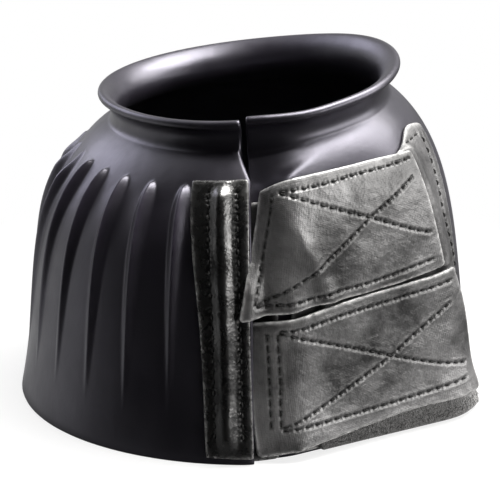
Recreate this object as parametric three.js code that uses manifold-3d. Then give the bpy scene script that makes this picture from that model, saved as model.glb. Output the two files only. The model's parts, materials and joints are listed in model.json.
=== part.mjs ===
// A pull-on rubber bell boot that guards a horse's hoof: one moulded bell with a rolled collar, split down
// the front, and closed by two straps of touch tape. The left half of the bell laps over the right half. A
// tongue behind the left edge carries the sewn ends of both straps, which cross to a panel on the right.
// Units are millimetres, +Z is up, the boot stands on the flat lower rim of the bell. Angles are in degrees
// round the bell's axis: 0 is +X (the wearer's right in front view) and -90 is the front, where the slit is.
import * as THREE from "three";
import { mergeVertices } from "three/addons/utils/BufferGeometryUtils.js";
import Module from "manifold-3d";

const wasm = await Module();
wasm.setup();

// ---- Driving dimensions of the bell
const RIM_RADIUS = 78; // outer radius of the lower rim
const NECK_RADIUS = 50; // outer radius of the pinch under the collar
const LIP_RADIUS = 52.8; // outer radius of the flared lip
const NECK_HEIGHT = 99.8;
const LIP_HEIGHT = 109.2;
const SKIRT_BEND_LOW = { radius: 69.7, height: 44 }; // pulls the straight lower skirt in
const SKIRT_BEND_HIGH = { radius: 76, height: 82.8 }; // pushes the shoulder out
const COLLAR_BEND_LOW = { radius: 47.6, height: 101.4 };
const COLLAR_BEND_HIGH = { radius: 47.6, height: 107.4 };
const RUBBER = 3; // wall thickness
const TILT = 8.4; // rise of the collar's right side over the middle
const TILT_ANGLE = -8;
const LIP_WAVE = 1.33; // two-fold rise and fall of the lip
const LIP_WAVE_ANGLE = 10;
const COLLAR_OVAL = 0.1; // the collar is longer along this angle by this share
const COLLAR_OVAL_ANGLE = -56;
const RIM_OVAL = 0.01;
const RIM_OVAL_ANGLE = 9;
const FLAT_SHARE = 0.14; // the straps pull the wall in, flat, facing this angle
const FLAT_ANGLE = -57;
const FLAT_BLEND = 2.7; // how softly the flat meets the round wall
const FLAT_REACH = 0.2; // cosine of the furthest turn from that angle that the flat is worked out for

// ---- Driving dimensions of the slit and the lap
const LAP_DEPTH = 5; // how far the right half dips to pass under the left half
const LAP_DEPTH_COLLAR = 1.5; // the dip that is left in the open collar
const LAP_FADE_FROM = 0.95; // places up the profile between which it fades
const LAP_FADE_TO = 1.35;
const LAP_FROM = -76; // where the dip starts, and where it is complete
const LAP_TO = -89;
const RIGHT_EDGE = -90.3; // cut edge of the right half
// Cut edge of the left half, a full turn on: at the rim, at the facing strip's top and at the neck.
const LEFT_EDGE_RIM = 272;
const LEFT_EDGE_STRIP = 271;
const LEFT_EDGE_NECK = 267.6;
const STRIP_TOP_PLACE = 0.88; // place up the profile where the facing strip ends
// Columns of the wall between the ribs and that edge.
const LEFT_MARGIN = [254, 258, 262, 266, 269, LEFT_EDGE_RIM];
const LAP_CLEARANCE = 0.6; // degrees between the left half's edge and the sewn ends of the straps

// ---- Ribs
const RIB_COUNT = 18;
const RIB_FIRST = 249.8;
const RIB_PITCH = 12.7;
const RIB_HALF_WIDTH = 2.4;
const RIB_HEIGHT = 2.2;
const RIB_FOOT = 0.16; // places up the profile: the point, the full ridge and the blunt head
const RIB_FULL = 0.78;
const RIB_HEAD = 0.85;

// ---- Layers over the right half, from the rubber outwards
const GAP = 0.4; // clearance between neighbouring layers
const TONGUE = 1.2;
const STRAP = 1.5;
const PANEL = 1;
const TAPE = 1.2;
const THREAD = 0.4;
const THREAD_GAP = 0.45;
const THREAD_WIDTH = 0.8;
const STRIP = 1; // vinyl of the facing strip
const STRIP_PAD = 1.8; // extra rise of its padded middle
const STRIP_SETBACK = 0.3; // degrees from the left half's edge back to the strip's
const STRIP_THREAD_LIFT = 0.1; // the strip's thread stands this much clearer, as the padding curves under it

// ---- Outlines on the wall: angles in degrees, heights in millimetres up the undistorted profile
const STRIP_LEFT_TOP = 252.4;
const STRIP_LEFT_FOOT = 260;
const STRIP_FOOT = 2.2;
const STRIP_TOP = 92.6;
const TONGUE_LEFT = -104;
const TONGUE_RIGHT = -81.4;
const TONGUE_FOOT = 0.8;
const TONGUE_TOP = 91;
const PANEL_LEFT = -78;
const PANEL_RIGHT = -18;
const PANEL_FOOT = 1.2;
const PANEL_TOP = 94.5;
const FOLD_ANGLE = -80.4; // line where the straps fold open
const FOLD_GAP = 0.5;
const CLIMB_DELAY = 1; // degrees of the free strap before it starts to climb
const CLIMB_END = -73; // past the fold, each strap has climbed onto its touch tape by here
const UPPER = { foot: [49, 53, 54.9], top: [89.6, 91.2, 90], left: [-91.2, -84], right: [-30.2, -37.4] };
const LOWER = { foot: [2, 6.5, 9], top: [47.2, 52, 53.1], left: [-87, -89.4], right: [-23.5, -28.6] };
const STRAP_SPLIT = 0.8; // height between the two straps
const UPPER_TAPE = { left: -70, foot: 56, top: 90, loopRight: -30, hookRight: -40 };
const LOWER_TAPE = { left: -70, foot: 11, top: 51, loopRight: -21, hookRight: -31 };
const LOWER_LOOP_FOOT = 1.4;
const STITCH_INSET = 3; // from an edge of a piece to its row of stitches
const HOOK_TOP_SETBACK = 2; // the hook tape stops this far under the loop tape's top
const ANCHOR_LEAN = 0.6; // lean of the row of stitches that holds a sewn end
const PANEL_STITCH_RIGHT = 2.5; // from the panel's right side and top to its rows of stitches
const PANEL_STITCH_TOP = 1.5;
const BOX_START = 2; // degrees from the climb's end to the box of stitches
const BOX_END_TOP = 2; // degrees from the strap's end back to the box
const BOX_END_FOOT = 3;
const CROSS_END_FOOT = 8; // heights at which the cross stops, inside the box's right corners
const CROSS_END_TOP = 6;
const STITCH_TURN_STEP = 6;
const STITCH_HEIGHT_STEP = 5.5;

// ---- Colours and finishes
const finish = {
  rubber: { color: 0x1b1a1f, roughness: 0.42, metalness: 0 },
  vinyl: { color: 0x111012, roughness: 0.28, metalness: 0 },
  leather: { color: 0x2a2928, roughness: 0.4, metalness: 0 },
  fleece: { color: 0x1a1a1b, roughness: 0.95, metalness: 0 },
  thread: { color: 0x0c0c0d, roughness: 0.6, metalness: 0 },
};

const skirtCurve = new THREE.CubicBezierCurve(
  new THREE.Vector2(RIM_RADIUS, 0),
  new THREE.Vector2(SKIRT_BEND_LOW.radius, SKIRT_BEND_LOW.height),
  new THREE.Vector2(SKIRT_BEND_HIGH.radius, SKIRT_BEND_HIGH.height),
  new THREE.Vector2(NECK_RADIUS, NECK_HEIGHT),
);
const collarCurve = new THREE.CubicBezierCurve(
  new THREE.Vector2(NECK_RADIUS, NECK_HEIGHT),
  new THREE.Vector2(COLLAR_BEND_LOW.radius, COLLAR_BEND_LOW.height),
  new THREE.Vector2(COLLAR_BEND_HIGH.radius, COLLAR_BEND_HIGH.height),
  new THREE.Vector2(LIP_RADIUS, LIP_HEIGHT),
);

const radians = THREE.MathUtils.degToRad;
const clamp = THREE.MathUtils.clamp;
const lerp = THREE.MathUtils.lerp;
const smoothstep = THREE.MathUtils.smoothstep;

// A value that runs through three given ones: at the start, halfway and at the end.
function through([start, middle, end], share) {
  return share < 0.5 ? lerp(start, middle, 2 * share) : lerp(middle, end, 2 * share - 1);
}

// Place up the profile (0 rim, 1 neck, 2 lip) of a height on the skirt.
function placeAt(height) {
  let low = 0;
  let high = 1;
  for (let step = 0; step < 30; step += 1) {
    const middle = (low + high) / 2;
    if (skirtCurve.getPoint(middle).y < height) low = middle;
    else high = middle;
  }
  return low;
}

// The smaller of two lengths, rounded off where they cross.
function softMin(a, b, softness) {
  const share = clamp(0.5 + (0.5 * (b - a)) / softness, 0, 1);
  return b * (1 - share) + a * share - softness * share * (1 - share);
}

// A point of the bell's outer face before the lap and the ribs.
function wallPoint(angle, place) {
  const onSkirt = place <= 1;
  const profile = onSkirt ? skirtCurve.getPoint(place) : collarCurve.getPoint(place - 1);
  const rise = profile.y / LIP_HEIGHT;
  const low = 1 - Math.min(rise ** 2, 1);
  const high = rise ** 3;
  const oval = COLLAR_OVAL * high * Math.cos(2 * radians(angle - COLLAR_OVAL_ANGLE));
  const rimOval = RIM_OVAL * low * Math.cos(2 * radians(angle - RIM_OVAL_ANGLE));
  const round = profile.x * (1 + oval + rimOval);
  const facing = Math.max(Math.cos(radians(angle - FLAT_ANGLE)), FLAT_REACH);
  const radius = softMin(round, (round * (1 - FLAT_SHARE * low)) / facing, FLAT_BLEND);
  const tilt = TILT * rise ** 2 * Math.cos(radians(angle - TILT_ANGLE));
  const wave = LIP_WAVE * high * Math.cos(2 * radians(angle - LIP_WAVE_ANGLE));
  return new THREE.Vector3(
    radius * Math.cos(radians(angle)),
    radius * Math.sin(radians(angle)),
    profile.y + tilt + wave,
  );
}

// How far the right half lies under the unbroken wall near the slit. The dip fades out in the open collar.
function lapDip(angle, place) {
  const nearSlit = 1 - smoothstep(angle, LAP_TO, LAP_FROM);
  return nearSlit * lerp(LAP_DEPTH, LAP_DEPTH_COLLAR, smoothstep(place, LAP_FADE_FROM, LAP_FADE_TO));
}

// A point at a distance out from the wall, measured square to it. Past a half turn the lap's dip is gone.
function layerPoint(angle, place, distance) {
  const step = 0.002;
  const point = wallPoint(angle, place);
  const round = wallPoint(angle + 0.1, place).sub(wallPoint(angle - 0.1, place));
  const up = wallPoint(angle, Math.min(place + step, 2)).sub(wallPoint(angle, Math.max(place - step, 0)));
  const outward = round.cross(up).normalize();
  point.addScaledVector(outward, distance - lapDip(angle, place));
  point.z = Math.max(point.z, 0);
  return point;
}

// Closes a grid of columns and rows into one solid sheet: outer face, inner face and the edge all round.
// pointAt takes the column, the row and the face (0 inner, 1 outer).
function sheetGeometry(columns, rows, pointAt) {
  const positions = [];
  for (const face of [0, 1]) {
    for (const row of rows) {
      for (const column of columns) positions.push(...pointAt(column, row, face).toArray());
    }
  }
  const across = columns.length;
  const up = rows.length;
  const corner = (i, j, face) => face * across * up + j * across + i;
  const index = [];
  for (let j = 0; j < up - 1; j += 1) {
    for (let i = 0; i < across - 1; i += 1) {
      const outer = [corner(i, j, 1), corner(i + 1, j, 1), corner(i + 1, j + 1, 1), corner(i, j + 1, 1)];
      const inner = [corner(i, j, 0), corner(i + 1, j, 0), corner(i + 1, j + 1, 0), corner(i, j + 1, 0)];
      index.push(outer[0], outer[1], outer[2], outer[0], outer[2], outer[3]);
      index.push(inner[0], inner[2], inner[1], inner[0], inner[3], inner[2]);
    }
  }
  const border = [];
  for (let i = 0; i < across - 1; i += 1) border.push([i, 0]);
  for (let j = 0; j < up - 1; j += 1) border.push([across - 1, j]);
  for (let i = across - 1; i > 0; i -= 1) border.push([i, up - 1]);
  for (let j = up - 1; j > 0; j -= 1) border.push([0, j]);
  border.forEach(([i, j], k) => {
    const [nextI, nextJ] = border[(k + 1) % border.length];
    const a = corner(i, j, 1);
    const b = corner(nextI, nextJ, 1);
    const innerA = corner(i, j, 0);
    const innerB = corner(nextI, nextJ, 0);
    index.push(b, a, innerA, b, innerA, innerB);
  });
  const geometry = new THREE.BufferGeometry();
  geometry.setAttribute("position", new THREE.Float32BufferAttribute(positions, 3));
  geometry.setIndex(index);
  return geometry;
}

// Rows of the wall, shared by every layer so that neighbouring layers keep the same gap.
const WALL_ROWS = [0, 0.08, RIB_FOOT, 0.26, 0.37, 0.48, 0.59, 0.7, RIB_FULL, RIB_HEAD, 0.91, 0.95, 1];
const COLLAR_ROWS = [1.2, 1.4, 1.6, 1.8, 2];
const COLUMN_STEP = 6;

// The shared columns or rows strictly between two ends, with the ends added.
function between(start, end, shared, least) {
  return [start, ...shared.filter((value) => value > start + least && value < end - least), end];
}

function sharedAngles(start, end) {
  const angles = [];
  const first = Math.ceil(start / COLUMN_STEP) * COLUMN_STEP;
  for (let angle = first; angle < end; angle += COLUMN_STEP) angles.push(angle);
  return between(start, end, angles, COLUMN_STEP / 3);
}

// A layer bounded by four edges: leftAt and rightAt give angles from the share up it, footAt and topAt give
// heights from the share across it, and innerAt and outerAt give distances from the wall.
function layerGeometry({ leftAt, rightAt, footAt, topAt, innerAt, outerAt }) {
  const shares = sharedAngles(leftAt(0.5), rightAt(0.5)).map(
    (angle) => (angle - leftAt(0.5)) / (rightAt(0.5) - leftAt(0.5)),
  );
  const footPlaces = shares.map((share) => placeAt(footAt(share)));
  const topPlaces = shares.map((share) => placeAt(topAt(share)));
  const low = Math.max(...footPlaces);
  const high = Math.min(...topPlaces);
  const middleRows = between(low, high, WALL_ROWS, 0.02).slice(1, -1);
  const rows = [-1, ...middleRows, -2];
  return sheetGeometry(shares, rows, (share, row, face) => {
    const edgeRow = row === -1 ? placeAt(footAt(share)) : placeAt(topAt(share));
    const place = row < 0 ? edgeRow : row;
    const up = clamp((place - low) / (high - low), 0, 1);
    const angle = lerp(leftAt(up), rightAt(up), share);
    return layerPoint(angle, place, face ? outerAt(angle, share, up) : innerAt(angle, share, up));
  });
}

function mesh(name, geometry, look) {
  const made = new THREE.Mesh(geometry, new THREE.MeshStandardMaterial(look));
  made.name = name;
  return made;
}

// Angle of the left half's cut edge: a little past the slit on the skirt, drawn back at the neck.
function leftEdge(place) {
  if (place <= STRIP_TOP_PLACE) return lerp(LEFT_EDGE_RIM, LEFT_EDGE_STRIP, place / STRIP_TOP_PLACE);
  return lerp(LEFT_EDGE_STRIP, LEFT_EDGE_NECK, smoothstep(place, STRIP_TOP_PLACE, 1));
}

// Rise of the ribs over the wall: a blunt head near the shoulder and a long taper to a point near the rim.
function ribRise(angle, place) {
  const fromFirst = (RIB_FIRST - angle) / RIB_PITCH;
  const nearest = clamp(Math.round(fromFirst), 0, RIB_COUNT - 1);
  const across = Math.max(1 - (Math.abs(fromFirst - nearest) * RIB_PITCH) / RIB_HALF_WIDTH, 0);
  const taper = clamp((place - RIB_FOOT) / (RIB_FULL - RIB_FOOT), 0, 1);
  const head = clamp((RIB_HEAD - place) / (RIB_HEAD - RIB_FULL), 0, 1);
  return RIB_HEIGHT * across * Math.min(taper, head);
}

function bellShell() {
  const ribAngles = [];
  for (let rib = RIB_COUNT - 1; rib >= 0; rib -= 1) {
    const crest = RIB_FIRST - rib * RIB_PITCH;
    ribAngles.push(crest - RIB_HALF_WIDTH, crest, crest + RIB_HALF_WIDTH);
  }
  const closure = sharedAngles(RIGHT_EDGE, ribAngles[0]).slice(0, -1);
  const angles = [...closure, ...ribAngles, ...LEFT_MARGIN];
  return sheetGeometry(angles, [...WALL_ROWS, ...COLLAR_ROWS], (column, place, face) => {
    const drawnBack = smoothstep(column, LEFT_MARGIN[0], LEFT_EDGE_RIM) * (LEFT_EDGE_RIM - leftEdge(place));
    const angle = column - drawnBack;
    return layerPoint(angle, place, face ? ribRise(angle, place) : -RUBBER);
  });
}

// The vinyl strip down the left half's edge, full in the middle and flat at its sewn margins.
function leftFacingStrip() {
  return layerGeometry({
    leftAt: (up) => lerp(STRIP_LEFT_FOOT, STRIP_LEFT_TOP, up),
    rightAt: (up) => leftEdge(STRIP_TOP_PLACE * up) - STRIP_SETBACK,
    footAt: () => STRIP_FOOT,
    topAt: () => STRIP_TOP,
    innerAt: () => GAP,
    outerAt: (angle, share) => GAP + STRIP + STRIP_PAD * Math.sin(Math.PI * share) ** 2,
  });
}

// The tongue behind the left half's edge, reaching out over the right half under the straps.
function anchorTongue() {
  return layerGeometry({
    leftAt: () => TONGUE_LEFT,
    rightAt: () => TONGUE_RIGHT,
    footAt: () => TONGUE_FOOT,
    topAt: () => TONGUE_TOP,
    innerAt: () => GAP,
    outerAt: () => GAP + TONGUE,
  });
}

function flatLayer(left, right, foot, top, inner, thickness) {
  return layerGeometry({
    leftAt: () => left,
    rightAt: () => right,
    footAt: () => foot,
    topAt: () => top,
    innerAt: () => inner,
    outerAt: () => inner + thickness,
  });
}

const PANEL_INNER = GAP;
const LOOP_INNER = PANEL_INNER + PANEL + GAP;
const HOOK_INNER = LOOP_INNER + TAPE + GAP;
const STRAP_OVER_TAPE = HOOK_INNER + TAPE + GAP;
const STRAP_OVER_TONGUE = GAP + TONGUE + GAP;

// Distance of a strap's inner face: low over the tongue, then up onto the touch tape.
function strapInner(angle) {
  return lerp(STRAP_OVER_TONGUE, STRAP_OVER_TAPE, smoothstep(angle, FOLD_ANGLE + CLIMB_DELAY, CLIMB_END));
}

// The angle of the left half's edge, as seen from the right half, with a clearance.
function besideLeftHalf(up) {
  return leftEdge(STRIP_TOP_PLACE * up) - 360 + LAP_CLEARANCE;
}

// A strap's outline from the given share of its width to its free end.
function strapLeft(outline, up) {
  return lerp(outline.left[0], outline.left[1], up);
}

function strapRight(outline, up) {
  return lerp(outline.right[0], outline.right[1], up);
}

// Share of the strap's whole width at an angle, so that its sewn end and free part share one foot and top.
function wholeShare(outline, angle) {
  const left = strapLeft(outline, 0.5);
  return clamp((angle - left) / (strapRight(outline, 0.5) - left), 0, 1);
}

function strapPiece(outline, leftAt, rightAt, topDrop) {
  const angleAt = (share) => lerp(leftAt(0.5), rightAt(0.5), share);
  return layerGeometry({
    leftAt,
    rightAt,
    footAt: (share) => through(outline.foot, wholeShare(outline, angleAt(share))),
    topAt: (share) => through(outline.top, wholeShare(outline, angleAt(share))) - topDrop,
    innerAt: (angle) => strapInner(angle),
    outerAt: (angle) => strapInner(angle) + STRAP,
  });
}

// The part of a strap that is sewn to the tongue and stays with the boot. heightShare gives the shares of the
// slit's height that the strap's foot and top stand at.
function sewnEnd(outline, heightShare, topDrop) {
  const leftAt = (up) => {
    const share = lerp(heightShare[0], heightShare[1], up);
    return Math.max(strapLeft(outline, up), besideLeftHalf(share));
  };
  return strapPiece(outline, leftAt, () => FOLD_ANGLE - FOLD_GAP, topDrop);
}

// The free part of a strap, from the fold to its end.
function freeStrap(outline, topDrop) {
  return strapPiece(outline, () => FOLD_ANGLE, (up) => strapRight(outline, up), topDrop);
}

function toSolid(geometry) {
  const bare = geometry.clone();
  bare.deleteAttribute("normal");
  bare.deleteAttribute("uv");
  const merged = mergeVertices(bare, 1e-4);
  const vertProperties = merged.attributes.position.array;
  const triVerts = new Uint32Array(merged.index.array);
  return new wasm.Manifold(new wasm.Mesh({ numProp: 3, vertProperties, triVerts }));
}

function toGeometry(solid) {
  const result = solid.getMesh();
  const geometry = new THREE.BufferGeometry();
  geometry.setAttribute("position", new THREE.Float32BufferAttribute(result.vertProperties, 3));
  geometry.setIndex(Array.from(result.triVerts));
  return geometry;
}

// One straight row of stitches from one angle and height to another, as a raised ribbon on a layer's face.
function stitchRow([fromAngle, fromHeight], [toAngle, toHeight], faceAt) {
  const turnSteps = Math.ceil(Math.abs(toAngle - fromAngle) / STITCH_TURN_STEP);
  const heightSteps = Math.ceil(Math.abs(toHeight - fromHeight) / STITCH_HEIGHT_STEP);
  const steps = Math.max(turnSteps, heightSteps, 2);
  const shares = Array.from({ length: steps + 1 }, (_, k) => k / steps);
  const middle = layerPoint((fromAngle + toAngle) / 2, placeAt((fromHeight + toHeight) / 2), 0);
  const perDegree = radians(1) * Math.hypot(middle.x, middle.y);
  const run = new THREE.Vector2((toAngle - fromAngle) * perDegree, toHeight - fromHeight);
  const side = new THREE.Vector2(run.y, -run.x).normalize().multiplyScalar(THREAD_WIDTH / 2);
  const reach = run.clone().normalize().multiplyScalar(THREAD_WIDTH / 2);
  return sheetGeometry([-1, 1], shares, (across, share, face) => {
    const end = share === 0 ? -1 : share === 1 ? 1 : 0;
    const sideways = side.x * across + reach.x * end;
    const upward = side.y * across + reach.y * end;
    const angle = lerp(fromAngle, toAngle, share) + sideways / perDegree;
    const height = lerp(fromHeight, toHeight, share) + upward;
    return layerPoint(angle, placeAt(height), faceAt(angle, height) + THREAD_GAP + face * THREAD);
  });
}

// Rows of stitches that cross or meet, joined into one body.
function stitching(rows, faceAt) {
  const solids = rows.map(([from, to]) => toSolid(stitchRow(from, to, faceAt)));
  return toGeometry(solids.reduce((joined, solid) => joined.add(solid)));
}

function facingStitching() {
  const left = (height) => lerp(STRIP_LEFT_FOOT, STRIP_LEFT_TOP, height / STRIP_TOP) + STITCH_INSET;
  const rightEdge = (height) => lerp(LEFT_EDGE_RIM, LEFT_EDGE_STRIP, height / STRIP_TOP) - STRIP_SETBACK;
  const right = (height) => rightEdge(height) - STITCH_INSET;
  const foot = STRIP_FOOT + STITCH_INSET;
  const top = STRIP_TOP - STITCH_INSET;
  const faceAt = (angle, height) => {
    const start = lerp(STRIP_LEFT_FOOT, STRIP_LEFT_TOP, height / STRIP_TOP);
    const share = clamp((angle - start) / (rightEdge(height) - start), 0, 1);
    return GAP + STRIP + STRIP_PAD * Math.sin(Math.PI * share) ** 2 + STRIP_THREAD_LIFT;
  };
  return stitching(
    [
      [[left(foot), foot], [left(top), top]],
      [[right(foot), foot], [right(top), top]],
      [[left(foot), foot], [right(foot), foot]],
      [[left(top), top], [right(top), top]],
    ],
    faceAt,
  );
}

// The panel is sewn down along its top and its right side, where the tapes leave it bare.
function panelStitching() {
  const right = PANEL_RIGHT - PANEL_STITCH_RIGHT;
  const top = PANEL_TOP - PANEL_STITCH_TOP;
  return stitching(
    [
      [[right, LOWER.top[2]], [right, top]],
      [[PANEL_LEFT + STITCH_INSET, top], [right, top]],
    ],
    () => PANEL_INNER + PANEL,
  );
}

function anchorStitching(outline) {
  const lean = (height) => ANCHOR_LEAN * ((height - outline.foot[0]) / outline.top[0]);
  const at = (height) => FOLD_ANGLE - STITCH_INSET + lean(height);
  const foot = outline.foot[0] + STITCH_INSET;
  const top = outline.top[0] - STITCH_INSET;
  return stitching([[[at(foot), foot], [at(top), top]]], () => STRAP_OVER_TONGUE + STRAP);
}

// The box and cross that hold the hook tape to the free strap. The free end has no row of its own.
function boxStitching(outline, topDrop) {
  const start = CLIMB_END + BOX_START;
  const end = outline.right[1] - BOX_END_TOP;
  const endFoot = outline.right[0] - BOX_END_FOOT;
  const inset = STITCH_INSET;
  const footAt = (angle) => through(outline.foot, wholeShare(outline, angle)) + inset;
  const topAt = (angle) => through(outline.top, wholeShare(outline, angle)) - topDrop - inset;
  const middle = (start + end) / 2;
  return stitching(
    [
      [[start, topAt(start)], [middle, topAt(middle)]],
      [[middle, topAt(middle)], [end, topAt(end)]],
      [[start, footAt(start)], [middle, footAt(middle)]],
      [[middle, footAt(middle)], [endFoot, footAt(endFoot)]],
      [[start, footAt(start)], [start, topAt(start)]],
      [[start, topAt(start)], [endFoot, footAt(endFoot) + CROSS_END_FOOT]],
      [[start, footAt(start)], [end, topAt(end) - CROSS_END_TOP]],
    ],
    (angle) => strapInner(angle) + STRAP,
  );
}

// A tape of loops sewn on the panel, from the given foot.
function loopTape(tape, foot) {
  return flatLayer(tape.left, tape.loopRight, foot, tape.top, LOOP_INNER, TAPE);
}

// The tape of hooks sewn under a free strap.
function hookTape(tape) {
  const top = tape.top - HOOK_TOP_SETBACK;
  return flatLayer(tape.left, tape.hookRight, tape.foot, top, HOOK_INNER, TAPE);
}

function buildBoot() {
  const boot = new THREE.Group();
  const panel = flatLayer(PANEL_LEFT, PANEL_RIGHT, PANEL_FOOT, PANEL_TOP, PANEL_INNER, PANEL);
  boot.add(
    mesh("bell_shell", bellShell(), finish.rubber),
    mesh("left_facing_strip", leftFacingStrip(), finish.vinyl),
    mesh("facing_strip_stitching", facingStitching(), finish.thread),
    mesh("anchor_tongue", anchorTongue(), finish.leather),
    mesh("closure_panel", panel, finish.vinyl),
    mesh("closure_panel_stitching", panelStitching(), finish.thread),
  );
  boot.add(
    mesh("upper_loop_tape", loopTape(UPPER_TAPE, UPPER_TAPE.foot), finish.fleece),
    mesh("lower_loop_tape", loopTape(LOWER_TAPE, LOWER_LOOP_FOOT), finish.fleece),
  );
  boot.add(
    mesh("upper_strap_sewn_end", sewnEnd(UPPER, [0.5, 1], 0), finish.leather),
    mesh("lower_strap_sewn_end", sewnEnd(LOWER, [0, 0.5], STRAP_SPLIT), finish.leather),
    mesh("upper_anchor_stitching", anchorStitching(UPPER), finish.thread),
    mesh("lower_anchor_stitching", anchorStitching(LOWER), finish.thread),
  );
  const straps = [
    ["upper", UPPER, UPPER_TAPE, 0],
    ["lower", LOWER, LOWER_TAPE, STRAP_SPLIT],
  ];
  for (const [side, outline, tape, topDrop] of straps) {
    const strap = new THREE.Group();
    strap.add(
      mesh(`${side}_strap`, freeStrap(outline, topDrop), finish.leather),
      mesh(`${side}_hook_tape`, hookTape(tape), finish.fleece),
      mesh(`${side}_strap_stitching`, boxStitching(outline, topDrop), finish.thread),
    );
    boot.add(strap);
  }
  // The frame's origin is under the middle of the whole boot, on the ground.
  const box = new THREE.Box3().setFromObject(boot, true);
  boot.position.set(-(box.min.x + box.max.x) / 2, -(box.min.y + box.max.y) / 2, 0);
  return boot;
}

export default buildBoot();
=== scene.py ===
"""Looks of a bell boot: one rubber bell, open down the front and closed by two straps of touch tape."""

import json
import logging
import math
from dataclasses import dataclass, field
from enum import Enum
from typing import Callable

import bmesh
import bpy
import numpy as np
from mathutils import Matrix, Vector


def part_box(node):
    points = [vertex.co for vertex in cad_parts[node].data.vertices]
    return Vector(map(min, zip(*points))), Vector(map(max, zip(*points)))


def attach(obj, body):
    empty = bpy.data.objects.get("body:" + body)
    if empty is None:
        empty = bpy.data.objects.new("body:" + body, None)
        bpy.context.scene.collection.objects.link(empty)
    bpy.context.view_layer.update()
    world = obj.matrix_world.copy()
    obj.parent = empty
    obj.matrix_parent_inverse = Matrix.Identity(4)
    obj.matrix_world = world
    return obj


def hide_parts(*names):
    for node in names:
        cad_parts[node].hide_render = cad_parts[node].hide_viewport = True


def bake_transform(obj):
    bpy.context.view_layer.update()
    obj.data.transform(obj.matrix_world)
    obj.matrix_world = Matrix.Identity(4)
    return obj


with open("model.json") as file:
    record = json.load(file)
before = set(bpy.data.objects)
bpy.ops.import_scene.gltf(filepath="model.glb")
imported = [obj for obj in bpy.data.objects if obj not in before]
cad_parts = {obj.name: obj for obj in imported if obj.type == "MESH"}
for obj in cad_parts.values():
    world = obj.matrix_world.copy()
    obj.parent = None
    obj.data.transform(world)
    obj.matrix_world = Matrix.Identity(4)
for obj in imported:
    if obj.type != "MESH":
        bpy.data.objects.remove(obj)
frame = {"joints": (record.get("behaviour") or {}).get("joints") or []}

Array = np.ndarray
Point = tuple[float, float]
Socket = bpy.types.NodeSocket
Material = bpy.types.Material
Piece = bpy.types.Object

LOG = logging.getLogger("bell_boot")
MM = 0.001  # metres in a millimetre
SEED = 7  # for the fibres of the loop tapes
UPPER_STRAP_END = (-30.2, -34.0, -37.4)  # the upper strap's right side in degrees, from foot to top


# ---------------------------------------------------------------------------------------------------------
# Curves and blends
# ---------------------------------------------------------------------------------------------------------


def smooth_step(x: Array) -> Array:
    """A rise from 0 to 1 with level ends: 3 t squared less 2 t cubed."""
    t = np.clip(x, 0.0, 1.0)
    return t * t * (3.0 - 2.0 * t)


def bump(x: Array) -> Array:
    """A bell-shaped hump, 1 at the middle: e to the minus x squared."""
    return np.exp(-x * x)


def smooth_min(a: Array, b: Array, width: float) -> Array:
    """The smaller of two values, with a rounded change-over.

    Args:
        a: first values.
        b: second values.
        width: how far apart they may be where they still mix.
    Returns:
        The smaller, less a quadratic fillet where the two are close.
    """
    share = np.clip(0.5 + 0.5 * (b - a) / width, 0.0, 1.0)
    return b * (1.0 - share) + a * share - width * share * (1.0 - share)


def bezier(points: tuple[Point, ...], t: Array) -> Array:
    """A cubic Bezier curve through the first and last of four points.

    Args:
        points: four control points.
        t: places along it, 0 to 1.
    Returns:
        The points, with their two coordinates in the last axis.
    """
    p = np.asarray(points, float)
    t = np.asarray(t, float)[..., None]
    r = 1.0 - t
    return r**3 * p[0] + 3 * r * r * t * p[1] + 3 * r * t * t * p[2] + t**3 * p[3]


def through(values: tuple[float, ...], t: Array) -> Array:
    """A smooth line through evenly spaced values, by Catmull and Rom's cubic.

    Args:
        values: two or more values, the first at t 0 and the last at t 1.
        t: places along it.
    Returns:
        The line's value at each place.
    """
    v = np.asarray(values, float)
    v = np.concatenate([[2 * v[0] - v[1]], v, [2 * v[-1] - v[-2]]])
    x = np.clip(t, 0.0, 1.0) * (len(values) - 1)
    i = np.minimum(x.astype(int), len(values) - 2)
    f = x - i
    a, b, c, d = v[i], v[i + 1], v[i + 2], v[i + 3]
    return b + 0.5 * f * (c - a + f * (2 * a - 5 * b + 4 * c - d + f * (3 * (b - c) + d - a)))


def unit(v: Array) -> Array:
    """Vectors brought to length one."""
    return v / np.maximum(np.linalg.norm(v, axis=-1, keepdims=True), 1e-12)


def segment_distance(points: Array, starts: Array, ends: Array) -> Array:
    """Distance from each point to the nearest of many straight segments.

    Args:
        points: N by 3.
        starts: M by 3.
        ends: M by 3.
    Returns:
        N distances.
    """
    nearest = np.full(len(points), 1e9)
    along = ends - starts
    length = np.maximum((along**2).sum(1), 1e-9)
    for chunk in np.array_split(np.arange(len(points)), max(1, len(points) // 4000)):
        p = points[chunk][:, None] - starts[None]
        t = np.clip((p * along).sum(2) / length, 0.0, 1.0)
        nearest[chunk] = np.sqrt(((p - t[..., None] * along) ** 2).sum(2).min(1))
    return nearest


def rounded(length: float, cell: float, radius: float) -> Array:
    """Steps along a side: close together in the rounded edge at both ends and even between.

    Args:
        length: the side, in mm.
        cell: the even step, in mm.
        radius: the edge's rounding, in mm.
    Returns:
        Rising places from 0 to length, in mm.
    """
    edge = np.array([0.0, 0.02, 0.1 * radius, 0.35 * radius, 0.7 * radius, 1.1 * radius])
    count = max(3, int(round((length - 2 * edge[-1]) / cell)))
    middle = np.linspace(edge[-1], length - edge[-1], count + 1)
    return np.concatenate([edge[:-1], middle, length - edge[-2::-1]])


# ---------------------------------------------------------------------------------------------------------
# The bell's own surface
# ---------------------------------------------------------------------------------------------------------


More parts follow.
